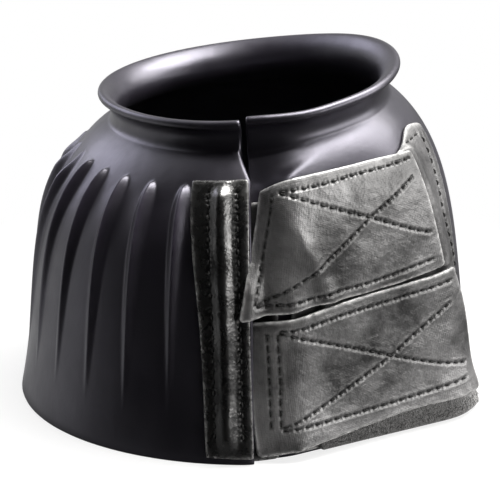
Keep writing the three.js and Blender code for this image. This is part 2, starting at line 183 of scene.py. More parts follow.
@dataclass
class BellForm:
    """The bell's wall, in mm about the boot's axis.

    A point on it has an angle in degrees and a place: 0 at the rim, 1 at the neck and 2 at the lip.
    """

    skirt: tuple[Point, ...] = ((78.0, 0.0), (69.7, 44.0), (76.0, 82.8), (50.0, 99.8))
    collar: tuple[Point, ...] = ((50.0, 99.8), (47.6, 101.4), (47.6, 107.4), (52.8, 109.2))
    rubber: float = 3.0
    tilt: float = 8.4  # how much higher the lip stands at the side that the neck leans to
    tilt_at: float = -8.0
    wave: float = 1.33
    wave_at: float = 10.0
    collar_oval: float = 0.10
    collar_oval_at: float = -56.0
    rim_oval: float = 0.01
    rim_oval_at: float = 9.0
    flat_share: float = 0.14  # how far the strap side is pressed flat at the rim
    flat_at: float = -57.0
    flat_blend: float = 2.7
    flat_limit: float = 0.2  # the least cosine that the pressed side is worked out from
    slump: float = 0.035  # how far the shoulder has sunk in on the left side, as a share of its radius
    slump_height: float = 91.0
    slump_spread: float = 16.0
    lap: float = 5.0  # how far the right half dips under the left half
    lap_from: float = -89.0
    lap_over: float = 13.0
    lap_widen: float = 0.9  # how much wider the dip's slope is above the straps
    lap_widen_from: float = 0.86
    lap_widen_over: float = 0.10
    lap_fade_from: float = 0.87
    lap_fade_over: float = 0.22
    lap_kept: float = 0.2  # share of the dip that is left at the neck
    shift: Array = field(default_factory=lambda: np.zeros(3))
    scale: float = 1.0

    @property
    def lip_height(self) -> float:
        """Height of the lip before it leans, in mm."""
        return self.collar[-1][1]

    def wall(self, angle: Array, place: Array) -> Array:
        """Points on the wall before the lap.

        The profile is one cubic for the skirt and one for the collar, turned about the axis. It is drawn out
        into an oval towards the lip, sunk at the left of the shoulder, pressed flat on the strap side towards
        the rim, and leans as it rises.

        Args:
            angle: degrees round the axis.
            place: 0 to 2 up the profile.
        Returns:
            Points in mm.
        """
        angle, place = np.broadcast_arrays(np.asarray(angle, float), np.asarray(place, float))
        on_skirt = (place <= 1.0)[..., None]
        profile = np.where(
            on_skirt,
            bezier(self.skirt, np.clip(place, 0.0, 1.0)),
            bezier(self.collar, np.clip(place - 1.0, 0.0, 1.0)),
        )
        radius, height = profile[..., 0], profile[..., 1]
        rise = height / self.lip_height
        low = 1.0 - np.minimum(rise**2, 1.0)
        high = rise**3
        turn = np.radians(angle)
        oval = self.collar_oval * high * np.cos(2 * (turn - math.radians(self.collar_oval_at)))
        oval = oval + self.rim_oval * low * np.cos(2 * (turn - math.radians(self.rim_oval_at)))
        radius = radius * (1.0 + oval)
        leftward = np.maximum(-np.cos(turn), 0.0)
        sunk = self.slump * leftward**2 * bump((height - self.slump_height) / self.slump_spread)
        radius = radius * (1.0 - sunk)
        facing = np.maximum(np.cos(turn - math.radians(self.flat_at)), self.flat_limit)
        radius = smooth_min(radius, radius * (1.0 - self.flat_share * low) / facing, self.flat_blend)
        height = height + self.tilt * rise**2 * np.cos(turn - math.radians(self.tilt_at))
        height = height + self.wave * high * np.cos(2 * (turn - math.radians(self.wave_at)))
        return np.stack([radius * np.cos(turn), radius * np.sin(turn), height], -1)

    def dip(self, angle: Array, place: Array) -> Array:
        """How far the wall lies inside its round form next to the slit.

        Args:
            angle: degrees round the axis.
            place: 0 to 2 up the profile.
        Returns:
            The depth in mm.
        """
        wider = smooth_step((place - self.lap_widen_from) / self.lap_widen_over)
        over = self.lap_over * (1.0 + self.lap_widen * wider)
        near = 1.0 - smooth_step((angle - self.lap_from) / over)
        up = smooth_step((place - self.lap_fade_from) / self.lap_fade_over)
        return near * (self.lap * (1.0 - up) + self.lap_kept * self.lap * up)

    def normal(self, angle: Array, place: Array) -> Array:
        """The wall's outward normal, square to two short steps along it.

        Args:
            angle: degrees round the axis.
            place: 0 to 2 up the profile.
        Returns:
            Unit vectors.
        """
        turn, climb = 0.1, 0.002
        round_step = self.wall(angle + turn, place) - self.wall(angle - turn, place)
        above = self.wall(angle, np.minimum(place + climb, 2.0))
        below = self.wall(angle, np.maximum(place - climb, 0.0))
        return unit(np.cross(round_step, above - below))

    def layer(self, angle: Array, place: Array, distance: Array) -> Array:
        """Points at a distance out from the lapped wall, kept on or above the ground.

        Args:
            angle: degrees round the axis.
            place: 0 to 2 up the profile.
            distance: mm along the wall's normal.
        Returns:
            Points in mm.
        """
        angle, place, distance = np.broadcast_arrays(angle, place, distance)
        out = distance - self.dip(angle, place)
        points = self.wall(angle, place) + out[..., None] * self.normal(angle, place)
        points[..., 2] = np.maximum(points[..., 2], 0.0)
        return points

    def place_of(self, height: Array) -> Array:
        """The place up the skirt that has a given height, by halving.

        Args:
            height: mm up the skirt.
        Returns:
            Places, 0 to 1.
        """
        low, high = np.zeros_like(height), np.ones_like(height)
        halvings = 40
        for _ in range(halvings):
            middle = (low + high) / 2
            under = bezier(self.skirt, middle)[..., 1] < height
            low, high = np.where(under, middle, low), np.where(under, high, middle)
        return low

    def to_frame(self, points: Array) -> Array:
        """Points in mm about the boot's axis, brought into the frame in metres."""
        return points * MM * self.scale + self.shift

    def fit(self, node: str) -> None:
        """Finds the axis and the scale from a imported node's box, so that this wall lies on that node's.

        Args:
            node: the node's name.
        """
        low, high = (np.array(corner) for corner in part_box(node))
        angle, place = np.meshgrid(np.linspace(-90, 270, 721), np.linspace(0, 2, 121))
        depths = (0.0, -self.rubber)
        faces = [self.layer(angle, place, np.full_like(angle, depth)).reshape(-1, 3) for depth in depths]
        own = np.concatenate(faces) * MM
        self.scale = float((high - low)[2] / own[:, 2].max())
        middle = (own.min(0) + own.max(0)) / 2 * self.scale
        self.shift = np.array([0.0, (low + high)[1] / 2 - middle[1], low[2]])
        LOG.info("bell: scale %.4f, axis at y %.2f mm", self.scale, self.shift[1] / MM)


# ---------------------------------------------------------------------------------------------------------
# Meshes
# ---------------------------------------------------------------------------------------------------------


def grid_faces(rows: int, columns: int, first: int = 0, flip: bool = False) -> Array:
    """Four-sided faces of a grid of vertices counted row by row.

    Args:
        rows: number of rows.
        columns: vertices in a row.
        first: index of the grid's first vertex.
        flip: whether the faces look the other way.
    Returns:
        Faces as rows of four indices.
    """
    corner = first + (np.arange(rows - 1)[:, None] * columns + np.arange(columns - 1)[None]).ravel()
    faces = np.stack([corner, corner + 1, corner + columns + 1, corner + columns], 1)
    return faces[:, ::-1] if flip else faces


def tubes(path: Array, side: Array, up: Array, radius: Array, turn: Array) -> Array:
    """Points of many tubes: about each point of each path, a ring in the plane of its side and up vectors.

    Args:
        path: N by K by 3, the tubes' middle lines.
        side: N by K by 3, unit vectors across them.
        up: N by K by 3, unit vectors square to both.
        radius: K radii, from one end of a tube to the other.
        turn: the places round a ring, in radians.
    Returns:
        The points, N by K by ring by 3.
    """
    across = side[:, :, None] * np.cos(turn)[None, None, :, None]
    above = up[:, :, None] * np.sin(turn)[None, None, :, None]
    return path[:, :, None] + (across + above) * radius[None, :, None, None]


def tube_faces(count: int, rings: int, sides: int) -> Array:
    """Faces of like tubes, one after another, with each ring's first point repeated at its end.

    Args:
        count: number of tubes.
        rings: rings of points along a tube.
        sides: faces round a tube.
    Returns:
        Faces as rows of four indices.
    """
    one = grid_faces(rings, sides + 1)
    return (one[None] + (np.arange(count) * rings * (sides + 1))[:, None, None]).reshape(-1, 4)


def make_mesh(
    name: str,
    points: Array,
    faces: Array,
    finish: Material,
    values: dict[str, Array] | None = None,
    flat_map: Array | None = None,
    merge: bool = True,
) -> Piece:
    """Makes a shaded object from whole arrays.

    Args:
        name: the piece's name.
        points: vertices in metres, in the frame.
        faces: vertex indices, four to a face; a repeated one makes a triangle once merged.
        finish: its material.
        values: named numbers, one for each vertex.
        flat_map: a place in mm on the flat material, for each vertex.
        merge: whether vertices at one place become one.
    Returns:
        The object, at the origin.
    """
    mesh = bpy.data.meshes.new(name)
    mesh.from_pydata(points.tolist(), [], faces.tolist())
    for key, column in (values or {}).items():
        mesh.attributes.new(key, "FLOAT", "POINT").data.foreach_set("value", column.astype(np.float32))
    if flat_map is not None:
        corners = np.zeros(len(mesh.loops), int)
        mesh.loops.foreach_get("vertex_index", corners)
        layer = mesh.uv_layers.new(name="flat")
        layer.data.foreach_set("uv", flat_map[corners].astype(np.float32).ravel())
    if merge:
        work = bmesh.new()
        work.from_mesh(mesh)
        bmesh.ops.remove_doubles(work, verts=work.verts, dist=1e-6)
        bmesh.ops.dissolve_degenerate(work, edges=work.edges, dist=1e-7)
        work.to_mesh(mesh)
        work.free()
    mesh.polygons.foreach_set("use_smooth", np.ones(len(mesh.polygons), bool))
    mesh.materials.append(finish)
    mesh.update()
    piece = bpy.data.objects.new(name, mesh)
    bpy.context.scene.collection.objects.link(piece)
    return piece


# ---------------------------------------------------------------------------------------------------------
# Finishes
# ---------------------------------------------------------------------------------------------------------


class Coat:
    """The nodes of one material, added by kind and joined by giving a socket as an input."""

    def __init__(self, name: str) -> None:
        """Starts a material with one surface shader."""
        self.material = bpy.data.materials.new(name)
        self.material.use_nodes = True
        self.tree = self.material.node_tree
        self.tree.nodes.clear()
        out = self.tree.nodes.new("ShaderNodeOutputMaterial")
        self.shader = self.tree.nodes.new("ShaderNodeBsdfPrincipled")
        self.tree.links.new(self.shader.outputs[0], out.inputs["Surface"])
        self.place = self.add("TexCoord").outputs["Object"]

    @classmethod
    def of(cls, tree: bpy.types.NodeTree) -> "Coat":
        """Works on a node tree that is already there, emptied."""
        coat = cls.__new__(cls)
        coat.tree = tree
        tree.nodes.clear()
        return coat

    def add(self, kind: str, settings: dict[str, object] | None = None, **inputs: object) -> bpy.types.Node:
        """Adds a node.

        Args:
            kind: the node's type without its prefix.
            settings: the node's own options.
            inputs: sockets or values by input name, with _ for a space.
        Returns:
            The node.
        """
        node = self.tree.nodes.new("ShaderNode" + kind)
        for key, value in (settings or {}).items():
            setattr(node, key, value)
        for key, value in inputs.items():
            self.put(node.inputs[key.replace("_", " ")], value)
        return node

    def put(self, socket: Socket, value: object) -> None:
        """Joins or sets one input."""
        if isinstance(value, Socket):
            self.tree.links.new(value, socket)
        else:
            socket.default_value = value

    def set(self, **inputs: object) -> None:
        """Joins or sets inputs of the surface shader."""
        for key, value in inputs.items():
            self.put(self.shader.inputs[key.replace("_", " ")], value)

    def value(self, name: str) -> Socket:
        """The number that the mesh carries under a name."""
        return self.add("Attribute", {"attribute_name": name}).outputs["Fac"]

    def noise(self, scale: float, detail: float = 4.0) -> Socket:
        """Cloudy noise; scale is in features to a metre."""
        node = self.add("TexNoise", Vector=self.place, Scale=scale, Detail=detail, Roughness=0.55)
        return node.outputs["Fac"]

    def cells(self, scale: float) -> Socket:
        """Distance to the middle of the nearest cell."""
        return self.add("TexVoronoi", {"feature": "F1"}, Vector=self.place, Scale=scale).outputs["Distance"]

    def math(self, operation: str, a: object, b: object = 0.0) -> Socket:
        """One sum of two numbers."""
        node = self.add("Math", {"operation": operation})
        self.put(node.inputs[0], a)
        self.put(node.inputs[1], b)
        return node.outputs[0]

    def span(self, value: object, low: float, high: float, to_low: float, to_high: float) -> Socket:
        """Moves a value from one range to another, and keeps it there."""
        node = self.add("MapRange", Value=value, From_Min=low, From_Max=high, To_Min=to_low, To_Max=to_high)
        return node.outputs["Result"]

    def mix(self, share: object, a: object, b: object) -> Socket:
        """A colour between two colours."""
        node = self.add("Mix", {"data_type": "RGBA"})
        self.put(node.inputs["Factor"], share)
        self.put(node.inputs[6], a)
        self.put(node.inputs[7], b)
        return node.outputs[2]

    def bump(self, height: object, depth: float, strength: float = 1.0, under: object = None) -> Socket:
        """A surface normal raised by a height; depth is in metres."""
        node = self.add("Bump", Height=height, Distance=depth, Strength=strength)
        if under is not None:
            self.put(node.inputs["Normal"], under)
        return node.outputs["Normal"]


def grey(value: float, blue: float = 0.0) -> tuple[float, float, float, float]:
    """A grey of one value, leaning to violet by a share."""
    return (value * (1 + 0.35 * blue), value, value * (1 + blue), 1.0)


@dataclass(frozen=True)
class RubberFinish:
    """Moulded black rubber: satin, faintly violet, paler on the rib crests, with specks of dust."""

    name: str = "bell_rubber"
    dark: float = 0.0025
    pale: float = 0.006
    worn: float = 0.03
    dusty: float = 0.32
    violet: float = 0.60
    rough_low: float = 0.31
    rough_high: float = 0.43

    def make(self) -> Material:
        """Clouded colour, worn crests and dust; two scales of bump."""
        coat = Coat(self.name)
        cloud = coat.span(coat.noise(34.0, 5.0), 0.35, 0.68, 0.0, 1.0)
        colour = coat.mix(cloud, grey(self.dark, self.violet), grey(self.pale, self.violet))
        wear = coat.math("MULTIPLY", coat.value("crest"), coat.span(coat.noise(420.0), 0.3, 0.7, 0.25, 0.75))
        colour = coat.mix(wear, colour, grey(self.worn, self.violet))
        near = coat.span(coat.cells(75.0), 0.018, 0.045, 1.0, 0.0)
        dust = coat.math("MULTIPLY", near, coat.span(coat.noise(16.0, 1.0), 0.56, 0.62, 0.0, 0.8))
        colour = coat.mix(dust, colour, grey(self.dusty, 0.1))
        rough = coat.span(coat.noise(60.0, 6.0), 0.3, 0.7, self.rough_low, self.rough_high)
        fine = coat.bump(coat.noise(2600.0, 2.0), 0.00004, 0.35)
        coat.set(
            Base_Color=colour,
            Roughness=rough,
            Normal=coat.bump(coat.noise(210.0, 3.0), 0.00030, 0.30, fine),
            Specular_IOR_Level=1.0,
            Specular_Tint=(0.88, 0.86, 1.0, 1.0),
        )
        return coat.material


@dataclass(frozen=True)
class LeatherFinish:
    """Coated black cloth-backed leather with a silver sheen and a fine pebbled grain."""

    name: str
    dark: float = 0.004
    pale: float = 0.062
    edge_wear_and_highlight: float = 0.30  # its grey along the cut edges: wear, and a painted highlight where the edge catches the light
    pucker_wear_and_highlight: float = 0.10  # its grey beside the stitches: wear, and a painted highlight on the puckered leather
    shine: float = 0.36  # its middle roughness
    level: float = 1.0
    dull: float = 0.45  # share of the level that its dark parts have
    index: float = 1.62

    def make(self) -> Material:
        """Smudged colour; paler edges and a paler band beside the seams, both wear with a painted highlight;
        painted shade along the stitches; woven grain in the bump.
        """
        coat = Coat(self.name)
        smudge = coat.span(coat.noise(42.0, 7.0), 0.40, 0.62, 0.0, 1.0)
        colour = coat.mix(smudge, grey(self.dark, 0.04), grey(self.pale, 0.02))
        # Paler cut edges: wear, with a painted highlight where the edge catches the light
        edge_wear_and_highlight = coat.math("MULTIPLY", coat.value("edge"), coat.span(coat.noise(500.0), 0.35, 0.6, 0.2, 1.0))
        colour = coat.mix(edge_wear_and_highlight, colour, grey(self.edge_wear_and_highlight))
        # A paler band beside the rows: wear, with a painted highlight on the puckered leather
        mottle = coat.span(coat.noise(900.0), 0.4, 0.65, 0.0, 0.5)
        pucker = coat.math("MULTIPLY", coat.value("pucker"), mottle)
        colour = coat.mix(pucker, colour, grey(self.pucker_wear_and_highlight))
        # Painted shade along the stitches, where the groove and the needle holes lie
        colour = coat.mix(coat.value("hole"), colour, grey(0.003))
        flat = coat.add("TexCoord").outputs["UV"]
        across = coat.add("TexWave", {"bands_direction": "X"}, Vector=flat, Scale=0.52, Distortion=1.2)
        along = coat.add("TexWave", {"bands_direction": "Y"}, Vector=flat, Scale=0.52, Distortion=1.2)
        weave = coat.math("MULTIPLY", across.outputs["Fac"], along.outputs["Fac"])
        grain = coat.bump(weave, 0.00010, 0.35)
        grain = coat.bump(coat.cells(1300.0), 0.00012, 0.4, grain)
        soft = coat.bump(coat.noise(75.0, 3.5), 0.0036, 0.42, grain)
        rough = coat.span(coat.noise(240.0, 5.0), 0.3, 0.7, self.shine - 0.05, self.shine + 0.12)
        level = coat.span(smudge, 0.0, 1.0, self.dull * self.level, self.level)
        coat.set(Base_Color=colour, Roughness=rough, Normal=soft, Specular_IOR_Level=level, IOR=self.index)
        return coat.material


@dataclass(frozen=True)
class VinylFinish:
    """Glossy black vinyl of the facing strip, finely wrinkled."""

    name: str = "facing_vinyl"
    dark: float = 0.0015
    pale: float = 0.004
    # paler cut edge: wear and a painted highlight
    edge_wear_and_highlight: float = 0.12
    rough_low: float = 0.22
    rough_high: float = 0.34

    def make(self) -> Material:
        """Near black, pale on the cut edge from wear with a painted highlight, painted shade along the
        stitches, with wrinkles and a pebbled grain in the bump.
        """
        coat = Coat(self.name)
        colour = coat.mix(coat.noise(150.0, 4.0), grey(self.dark), grey(self.pale))
        # Paler cut edge: wear, with a painted highlight where the edge catches the light
        edge_wear_and_highlight = coat.math("MULTIPLY", coat.value("edge"), coat.span(coat.noise(600.0), 0.4, 0.6, 0.15, 1.0))
        colour = coat.mix(edge_wear_and_highlight, colour, grey(self.edge_wear_and_highlight))
        # Painted shade along the stitches, where the groove and the needle holes lie
        colour = coat.mix(coat.value("hole"), colour, grey(0.002))
        grain = coat.bump(coat.cells(1100.0), 0.00010, 0.45)
        wrinkled = coat.bump(coat.noise(380.0, 5.0), 0.0006, 0.32, grain)
        rough = coat.span(coat.noise(320.0, 3.0), 0.3, 0.7, self.rough_low, self.rough_high)
        coat.set(Base_Color=colour, Roughness=rough, Normal=wrinkled, Specular_IOR_Level=1.0, IOR=1.6)
        return coat.material


@dataclass(frozen=True)
class TapeFinish:
    """Black touch tape: a matt woven ground under loops or hooks."""

    name: str
    dark: float = 0.010
    pale: float = 0.035
    rough: float = 0.8

    def make(self) -> Material:
        """A close weave with speckled fibres."""
        coat = Coat(self.name)
        fibre = coat.span(coat.noise(1400.0, 4.0), 0.35, 0.65, 0.0, 1.0)
        colour = coat.mix(fibre, grey(self.dark), grey(self.pale))
        nap = coat.bump(coat.noise(1900.0, 3.0), 0.0005, 0.8)
        rough = coat.span(coat.noise(600.0), 0.3, 0.7, self.rough - 0.1, self.rough + 0.1)
        coat.set(
            Base_Color=colour,
            Roughness=rough,
            Normal=nap,
            Specular_IOR_Level=0.3,
            Sheen_Weight=0.35,
            Sheen_Roughness=0.5,
        )
        return coat.material


@dataclass(frozen=True)
class ThreadFinish:
    """Black bonded sewing thread with its twist."""

    name: str = "stitch_thread"
    dark: float = 0.004
    pale: float = 0.016

    def make(self) -> Material:
        """Plies from a wave along each stitch."""
        coat = Coat(self.name)
        lay = coat.math("SINE", coat.math("MULTIPLY", coat.value("lay"), 2.0 * math.pi))
        ply = coat.span(lay, -1.0, 1.0, 0.0, 1.0)
        colour = coat.mix(ply, grey(self.dark), grey(self.pale))
        rough = coat.span(ply, 0.0, 1.0, 0.75, 0.5)
        twist = coat.bump(ply, 0.00012, 0.8)
        coat.set(Base_Color=colour, Roughness=rough, Normal=twist, Specular_IOR_Level=0.3)
        return coat.material


@dataclass
class Finishes:
    """Every material of the boot."""

    rubber: Material = field(default_factory=lambda: RubberFinish().make())
    vinyl: Material = field(default_factory=lambda: VinylFinish().make())
    strap: Material = field(default_factory=lambda: LeatherFinish("strap_leather").make())
    panel: Material = field(
        default_factory=lambda: LeatherFinish(
            "panel_leather", dark=0.018, pale=0.045, shine=0.42, level=0.7
        ).make()
    )
    # The tongue's leather: a near-black, dull copy of the strap leather, painted shade for the tongue lying
    # in the slit's shadow
    tongue: Material = field(
        default_factory=lambda: LeatherFinish(
            "tongue_painted_shade_leather", dark=0.003, pale=0.008, shine=0.5, level=0.2
        ).make()
    )
    fleece: Material = field(default_factory=lambda: TapeFinish("loop_fleece", dark=0.02, pale=0.07).make())
    hooks: Material = field(default_factory=lambda: TapeFinish("hook_tape", rough=0.55).make())
    thread: Material = field(default_factory=lambda: ThreadFinish().make())


class Slot(Enum):
    """The record's material slots."""

    RUBBER = "bell_rubber"
    VINYL = "facing_vinyl"
    LEATHER = "strap_leather"
    FLEECE = "loop_fleece"
    HOOKS = "hook_tape"
    THREAD = "stitch_thread"


# ---------------------------------------------------------------------------------------------------------
# Sewn sheets
# ---------------------------------------------------------------------------------------------------------


@dataclass(frozen=True)
class Row:
    """A row of stitches: its corner points as (angle, height in mm) and the length of a stitch in mm."""

    line: tuple[Point, ...]
    pitch: float = 3.7
    gap: float = 0.23  # share of the pitch left bare at each end of a stitch


def no_lift(angle: Array, height: Array) -> Array:
    """The relief of a sheet that has none."""
    return np.zeros_like(angle)


@dataclass
class Sheet:
    """A thin sheet laid on the bell.

    Its left and right sides are angles from foot to top, and its foot and top are heights from left to right.
    """

    form: BellForm
    left: tuple[float, ...]
    right: tuple[float, ...]
    foot: tuple[float, ...]
    top: tuple[float, ...]
    base: Callable[[Array, Array], Array]  # distance of its inner face from the wall, in mm
    thick: float
    cell: float = 0.45
    corner: tuple[float, float, float, float] = (1.2, 1.2, 1.2, 1.2)  # foot left, right, top left, right
    edge_round: float = 0.45
    rows: tuple[Row, ...] = ()
    relief: Callable[[Array, Array], Array] = no_lift
    groove: float = 0.16  # depth along a row of stitches
    groove_half: float = 0.70
    hole: float = 0.42  # further depth at a needle hole
    hole_half: float = 0.60
    pucker: float = 0.08  # height of the swelling beside a row
    pucker_at: float = 1.25
    pucker_half: float = 0.50
    thread_rise: float = 0.22  # how far a stitch stands above the face
    thread_twists: float = 7.0
    thread_taper: float = 0.6
    thread_arch: float = 0.7
    plain_edge: float = 0.8  # the seams draw the face in beyond this distance from the sheet's edge
    edge_wear_highlight_reach: float = 0.75  # how far the paler edge goes: wear with a painted highlight
    pucker_wear_highlight_mark: Point = (1.2, 0.45)  # where the paler band beside a row lies, and its half width: wear with a painted highlight
    stitch_shade_reach: float = 0.50  # how far the painted shade along a row of stitches goes

    def spot(self, s: Array, t: Array) -> tuple[Array, Array]:
        """Angle and height at a share s from left to right and t from foot to top."""
        angle = (1 - s) * through(self.left, t) + s * through(self.right, t)
        height = (1 - t) * through(self.foot, s) + t * through(self.top, s)
        return angle, height

    def at(self, angle: Array, height: Array, out: Array) -> Array:
        """Points in mm at a distance from the wall."""
        return self.form.layer(angle, self.form.place_of(height), out)

    def face(self, angle: Array, height: Array) -> Array:
        """Distance of the outer face from the wall before any seam."""
        return self.base(angle, height) + self.thick + self.relief(angle, height)

    def size(self) -> tuple[float, float]:
        """Measures the sheet along its inner face.

        Returns:
            Its mean width and height, in mm.
        """
        s, t = np.meshgrid(np.linspace(0, 1, 25), np.linspace(0, 1, 25))
        angle, height = self.spot(s, t)
        p = self.at(angle, height, self.base(angle, height))
        wide = np.linalg.norm(np.diff(p, axis=1), axis=2).sum(1).mean()
        tall = np.linalg.norm(np.diff(p, axis=0), axis=2).sum(0).mean()
        return float(wide), float(tall)

    def round_corners(self, x: Array, y: Array, wide: float, tall: float) -> tuple[Array, Array]:
        """Turns each square corner into a quarter circle by mapping the square onto the disc.

        Args:
            x: mm from the left side.
            y: mm from the foot.
            wide: the sheet's width.
            tall: the sheet's height.
        Returns:
            The moved x and y.
        """
        for k, radius in enumerate(self.corner):
            at_right, at_top = k % 2 == 1, k >= 2
            a = (wide - x if at_right else x) / radius
            b = (tall - y if at_top else y) / radius
            inside = (a < 1) & (b < 1)
            u, v = np.clip(1 - a, 0, 1), np.clip(1 - b, 0, 1)
            nu, nv = u * np.sqrt(1 - v * v / 2), v * np.sqrt(1 - u * u / 2)
            new_x, new_y = (1 - nu) * radius, (1 - nv) * radius
            x = np.where(inside, wide - new_x if at_right else new_x, x)
            y = np.where(inside, tall - new_y if at_top else new_y, y)
        return x, y

    def stitches(self) -> tuple[Array, Array]:
        """Spaces the stitches evenly along their rows.

        Returns:
            Where each dives in and where it comes out, each N by 2 of angle and height.
        """
        starts, ends = [], []
        for row in self.rows:
            corners = np.asarray(row.line, float)
            share = np.linspace(0, len(corners) - 1, 60 * (len(corners) - 1) + 1)
            angle = np.interp(share, np.arange(len(corners)), corners[:, 0])
            height = np.interp(share, np.arange(len(corners)), corners[:, 1])
            p = self.at(angle, height, self.face(angle, height))
            run = np.concatenate([[0.0], np.cumsum(np.linalg.norm(np.diff(p, axis=0), axis=1))])
            count = max(1, int(round(run[-1] / row.pitch)))
            places = np.linspace(0, run[-1], count + 1)
            spot = np.stack([np.interp(places, run, angle), np.interp(places, run, height)], 1)
            step = np.diff(spot, axis=0) * row.gap
            starts.append(spot[:-1] + step)
            ends.append(spot[1:] - step)
        return np.concatenate(starts), np.concatenate(ends)

    def seams(self, points: Array) -> tuple[Array, Array]:
        """Measures how far points lie from the sewing.

        Args:
            points: N by 3, in mm.
        Returns:
            Distances in mm to the nearest stitch and to the nearest needle hole.
        """
        if not self.rows:
            far = np.full(len(points), 99.0)
            return far, far
        spots = [self.at(e[:, 0], e[:, 1], self.face(e[:, 0], e[:, 1])) for e in self.stitches()]
        holes = np.concatenate(spots)
        return segment_distance(points, spots[0], spots[1]), segment_distance(points, holes, holes)

    def build(self, name: str, finish: Material) -> Piece:
        """Makes the sheet: an outer face drawn in along its seams, an inner face and a rounded edge.

        Args:
            name: the piece's name.
            finish: its material.
        Returns:
            The sheet as one closed piece.
        """
        wide, tall = self.size()
        half = self.thick / 2
        radius = min(self.edge_round, half)
        x, y = np.meshgrid(rounded(wide, self.cell, 1.0), rounded(tall, self.cell, 1.0))
        rows, columns = x.shape
        edge = np.minimum(np.minimum(x, wide - x), np.minimum(y, tall - y))
        x, y = self.round_corners(x, y, wide, tall)
        angle, height = self.spot(x / wide, y / tall)
        inset = np.clip(edge, 0, radius)
        level = half - radius + np.sqrt(np.maximum(radius**2 - (radius - inset) ** 2, 0))
        level = np.where(edge <= 0, 0.0, level)
        middle = self.base(angle, height) + half
        smooth_face = self.at(angle, height, middle + level + self.relief(angle, height))
        to_seam, to_hole = (d.reshape(x.shape) for d in self.seams(smooth_face.reshape(-1, 3)))
        inner_share = smooth_step(edge / self.plain_edge)
        sewn = -self.groove * bump(to_seam / self.groove_half) - self.hole * bump(to_hole / self.hole_half)
        sewn = sewn + self.pucker * bump((to_seam - self.pucker_at) / self.pucker_half)
        outer = self.at(angle, height, middle + level + (self.relief(angle, height) + sewn) * inner_share)
        inner = self.at(angle, height, middle - level)
        count = rows * columns
        points = np.concatenate([outer.reshape(-1, 3), inner.reshape(-1, 3)])
        faces = np.concatenate([grid_faces(rows, columns), grid_faces(rows, columns, count, True)])
        none = np.zeros(count)
        mark_at, mark_half = self.pucker_wear_highlight_mark
        values = {
            # edge: the paler cut edge, wear with a painted highlight
            "edge": np.concatenate([bump(edge / self.edge_wear_highlight_reach).ravel(), none]),
            # pucker: the paler band beside a row, wear with a painted highlight
            "pucker": np.concatenate([bump((to_seam - mark_at) / mark_half).ravel(), none]),
            # hole: painted shade along each row of stitches
            "hole": np.concatenate([bump(to_seam / self.stitch_shade_reach).ravel(), none]),
        }
        flat = np.stack([x, y], -1).reshape(-1, 2)
        flat = np.concatenate([flat, flat])
        piece = make_mesh(name, self.form.to_frame(points), faces, finish, values, flat)
        LOG.info("%s: %.0f by %.0f mm, %d faces", name, wide, tall, len(piece.data.polygons))
        return piece

    def sew(self, name: str, finish: Material, thick: float = 0.62) -> Piece:
        """Makes the stitches: closed spindles that rise out of one needle hole and dive into the next.

        Args:
            name: the piece's name.
            finish: its material.
            thick: the thread's diameter, in mm.
        Returns:
            The stitches as one piece.
        """
        start, end = self.stitches()
        rings, sides = 7, 6
        share = np.linspace(0.0, 1.0, rings)
        turn = np.arange(sides + 1) * 2 * np.pi / sides
        arch = np.sin(np.pi * share) ** self.thread_arch
        spot = start[:, None] + (end - start)[:, None] * share[None, :, None]
        angle, height = spot[..., 0], spot[..., 1]
        rise = -self.groove - self.hole + (self.hole + self.thread_rise) * arch
        centre = self.at(angle, height, self.face(angle, height) + rise[None])
        above = self.at(angle, height, self.face(angle, height) + rise[None] + 1.0)
        up = unit(above - centre)
        along = unit(np.gradient(centre, axis=1))
        side = unit(np.cross(along, up))
        up = np.cross(side, along)
        radius = thick / 2 * np.sqrt(np.clip(1 - (2 * share - 1) ** 2, 0, 1)) ** self.thread_taper
        points = tubes(centre, side, up, radius, turn).reshape(-1, 3)
        count = len(start)
        faces = tube_faces(count, rings, sides)
        lay = (share[:, None] * self.thread_twists + np.arange(sides + 1)[None] / sides).ravel()
        values = {"lay": np.tile(lay, count)}
        piece = make_mesh(name, self.form.to_frame(points), faces, finish, values)
        LOG.info("%s: %d stitches", name, count)
        return piece


def dress(piece: Piece, slot: Slot, *nodes: str) -> Piece:
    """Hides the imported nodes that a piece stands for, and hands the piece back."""
    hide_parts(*nodes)
    return piece


# ---------------------------------------------------------------------------------------------------------
# The bell
# ---------------------------------------------------------------------------------------------------------


